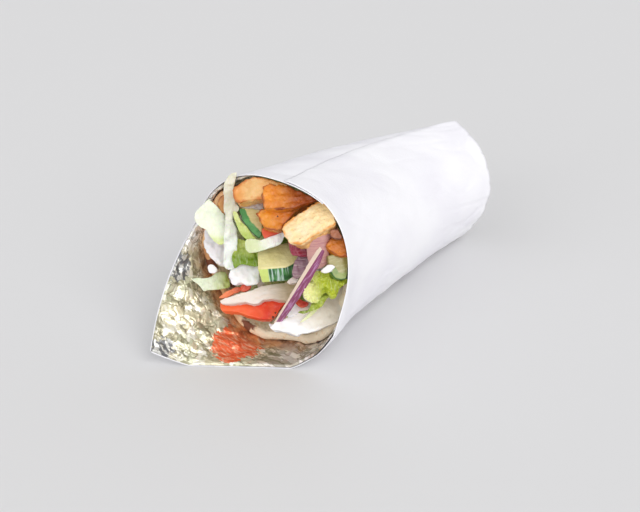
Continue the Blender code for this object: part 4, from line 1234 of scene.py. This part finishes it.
for name, at, outline, depth, finish in (
    ("thin_tomato", (-22.0, -59.5, 29.0),
     [(-1, -2), (1.5, 0), (4.5, 1.5), (7.5, 2.5), (9.5, 2.5), (9.5, 0.5), (6.5, -0.5), (3, -2)],
     2.0, thin_red),
    ("dark_tomato_left", (-14.0, -56.5, 33.0),
     [(1, -1), (2.5, 1), (4.5, 2), (6.5, 1), (6.5, -0.5), (5, -2), (2.5, -2.5)], 3.0, dark_red),
    ("dark_tomato_right", (22.0, -57.0, 30.0),
     [(-1.5, 3.5), (0.5, 5.5), (2, 4.5), (4.5, 3.5), (3.5, 2), (1, 1.5)], 3.0, dark_red),
):
    face = (0.0, -0.85, 0.5)
    cut_piece(name, at, face, outline, depth, finish, "tomato", voxel=0.3, steps=2, relief=(0.2, 1.6))
crisp_end = fried_finish(
    "crisp_end", tint(168, 104, 72), tint(140, 78, 46), (-1.0, 4.0),
    tint(120, 60, 34), tint(96, 44, 24), 0.8,
)
toasted_end = fried_finish(
    "toasted_end", tint(226, 166, 96), tint(214, 148, 82), (-3.0, 2.0),
    tint(190, 112, 56), tint(160, 88, 42), 0.8,
)
for name, at, face, outline, depth, finish, slot in (
    ("crisp_end", (38.0, -49.0, 70.0), (0.1, -0.85, 0.5),
     [(-1, 0), (1, 0.5), (3, 0), (4.5, -3), (3.5, -4.5), (0.5, -4), (-1, -3)],
     4.0, crisp_end, "fried_potato"),
    ("toasted_end", (-22.0, -50.0, 73.0), (0.1, -0.9, 0.4),
     [(-3, -2), (-2, 0.5), (0, 2), (1.5, 1), (1, -3.5), (0.5, -7), (-1, -6.5), (-2.5, -4)], 4.0,
     toasted_end, "bread"),
    ("meat_end", (17.0, -55.0, 42.0), (0.0, -0.85, 0.5),
     [(-2, 0.5), (0, 2), (1.5, 3), (4, 2.5), (3, 0), (-0.5, -0.5)], 4.0, meat_finish, "chicken"),
):
    cut_piece(name, at, face, outline, depth, finish, slot, voxel=0.35, relief=(0.2, 1.6))
for name, at, outline, depth, finish in (
    ("grey_shred", (0.0, -47.0, 72.0),
     [(-10.5, 4), (-7, 4), (-1, 4.5), (-0.5, 0.5), (-2, -1), (-5, 0), (-9, 0.5), (-11, 1.5)], 4.0,
     onion_finish("grey_shred", tint(172, 162, 158), tint(160, 150, 150), tint(196, 188, 186), 30.0, 0.4)),
    ("shaded_shreds", (24.0, -49.5, 50.0),
     [(-7.5, -1), (-5.5, 3.5), (-3.5, 6), (-1, 7), (1.5, 6), (1.5, 1), (-1, -2), (-4.5, -5.5),
      (-7.5, -5)], 3.0,
     onion_finish("shaded_shreds", tint(140, 100, 116), tint(120, 84, 104), tint(196, 176, 170), 30.0, 0.35)),
):
    face = (0.05, -0.85, 0.5)
    cut_piece(name, at, face, outline, depth, finish, "red_onion", voxel=0.35, steps=2, relief=(0.5, 2.0))


# Crumbs: charred grains off the toasted pieces, less than a millimetre across. One has fallen on the orange
# chunk, and two lie by the foot of the onion strip.
grain_finish, tree, shader, where = start_finish("charred_grain", Roughness=0.6)
shader.inputs["Base Color"].default_value = tint(74, 38, 28)
bm = bmesh.new()
for index, spot in enumerate(((11.5, -53.0, 72.6), (9.9, -59.2, 27.0), (9.0, -60.4, 25.2))):
    made = bmesh.ops.create_icosphere(bm, subdivisions=2, radius=0.36 + 0.06 * index)
    for v in made["verts"]:
        v.co *= 1.0 + 0.5 * wavy(v.co.x * 2.0 + index, v.co.y * 2.0, v.co.z * 2.0)
        v.co += Vector(spot)
new_piece("charred_grains", bm, grain_finish, "fried_potato")
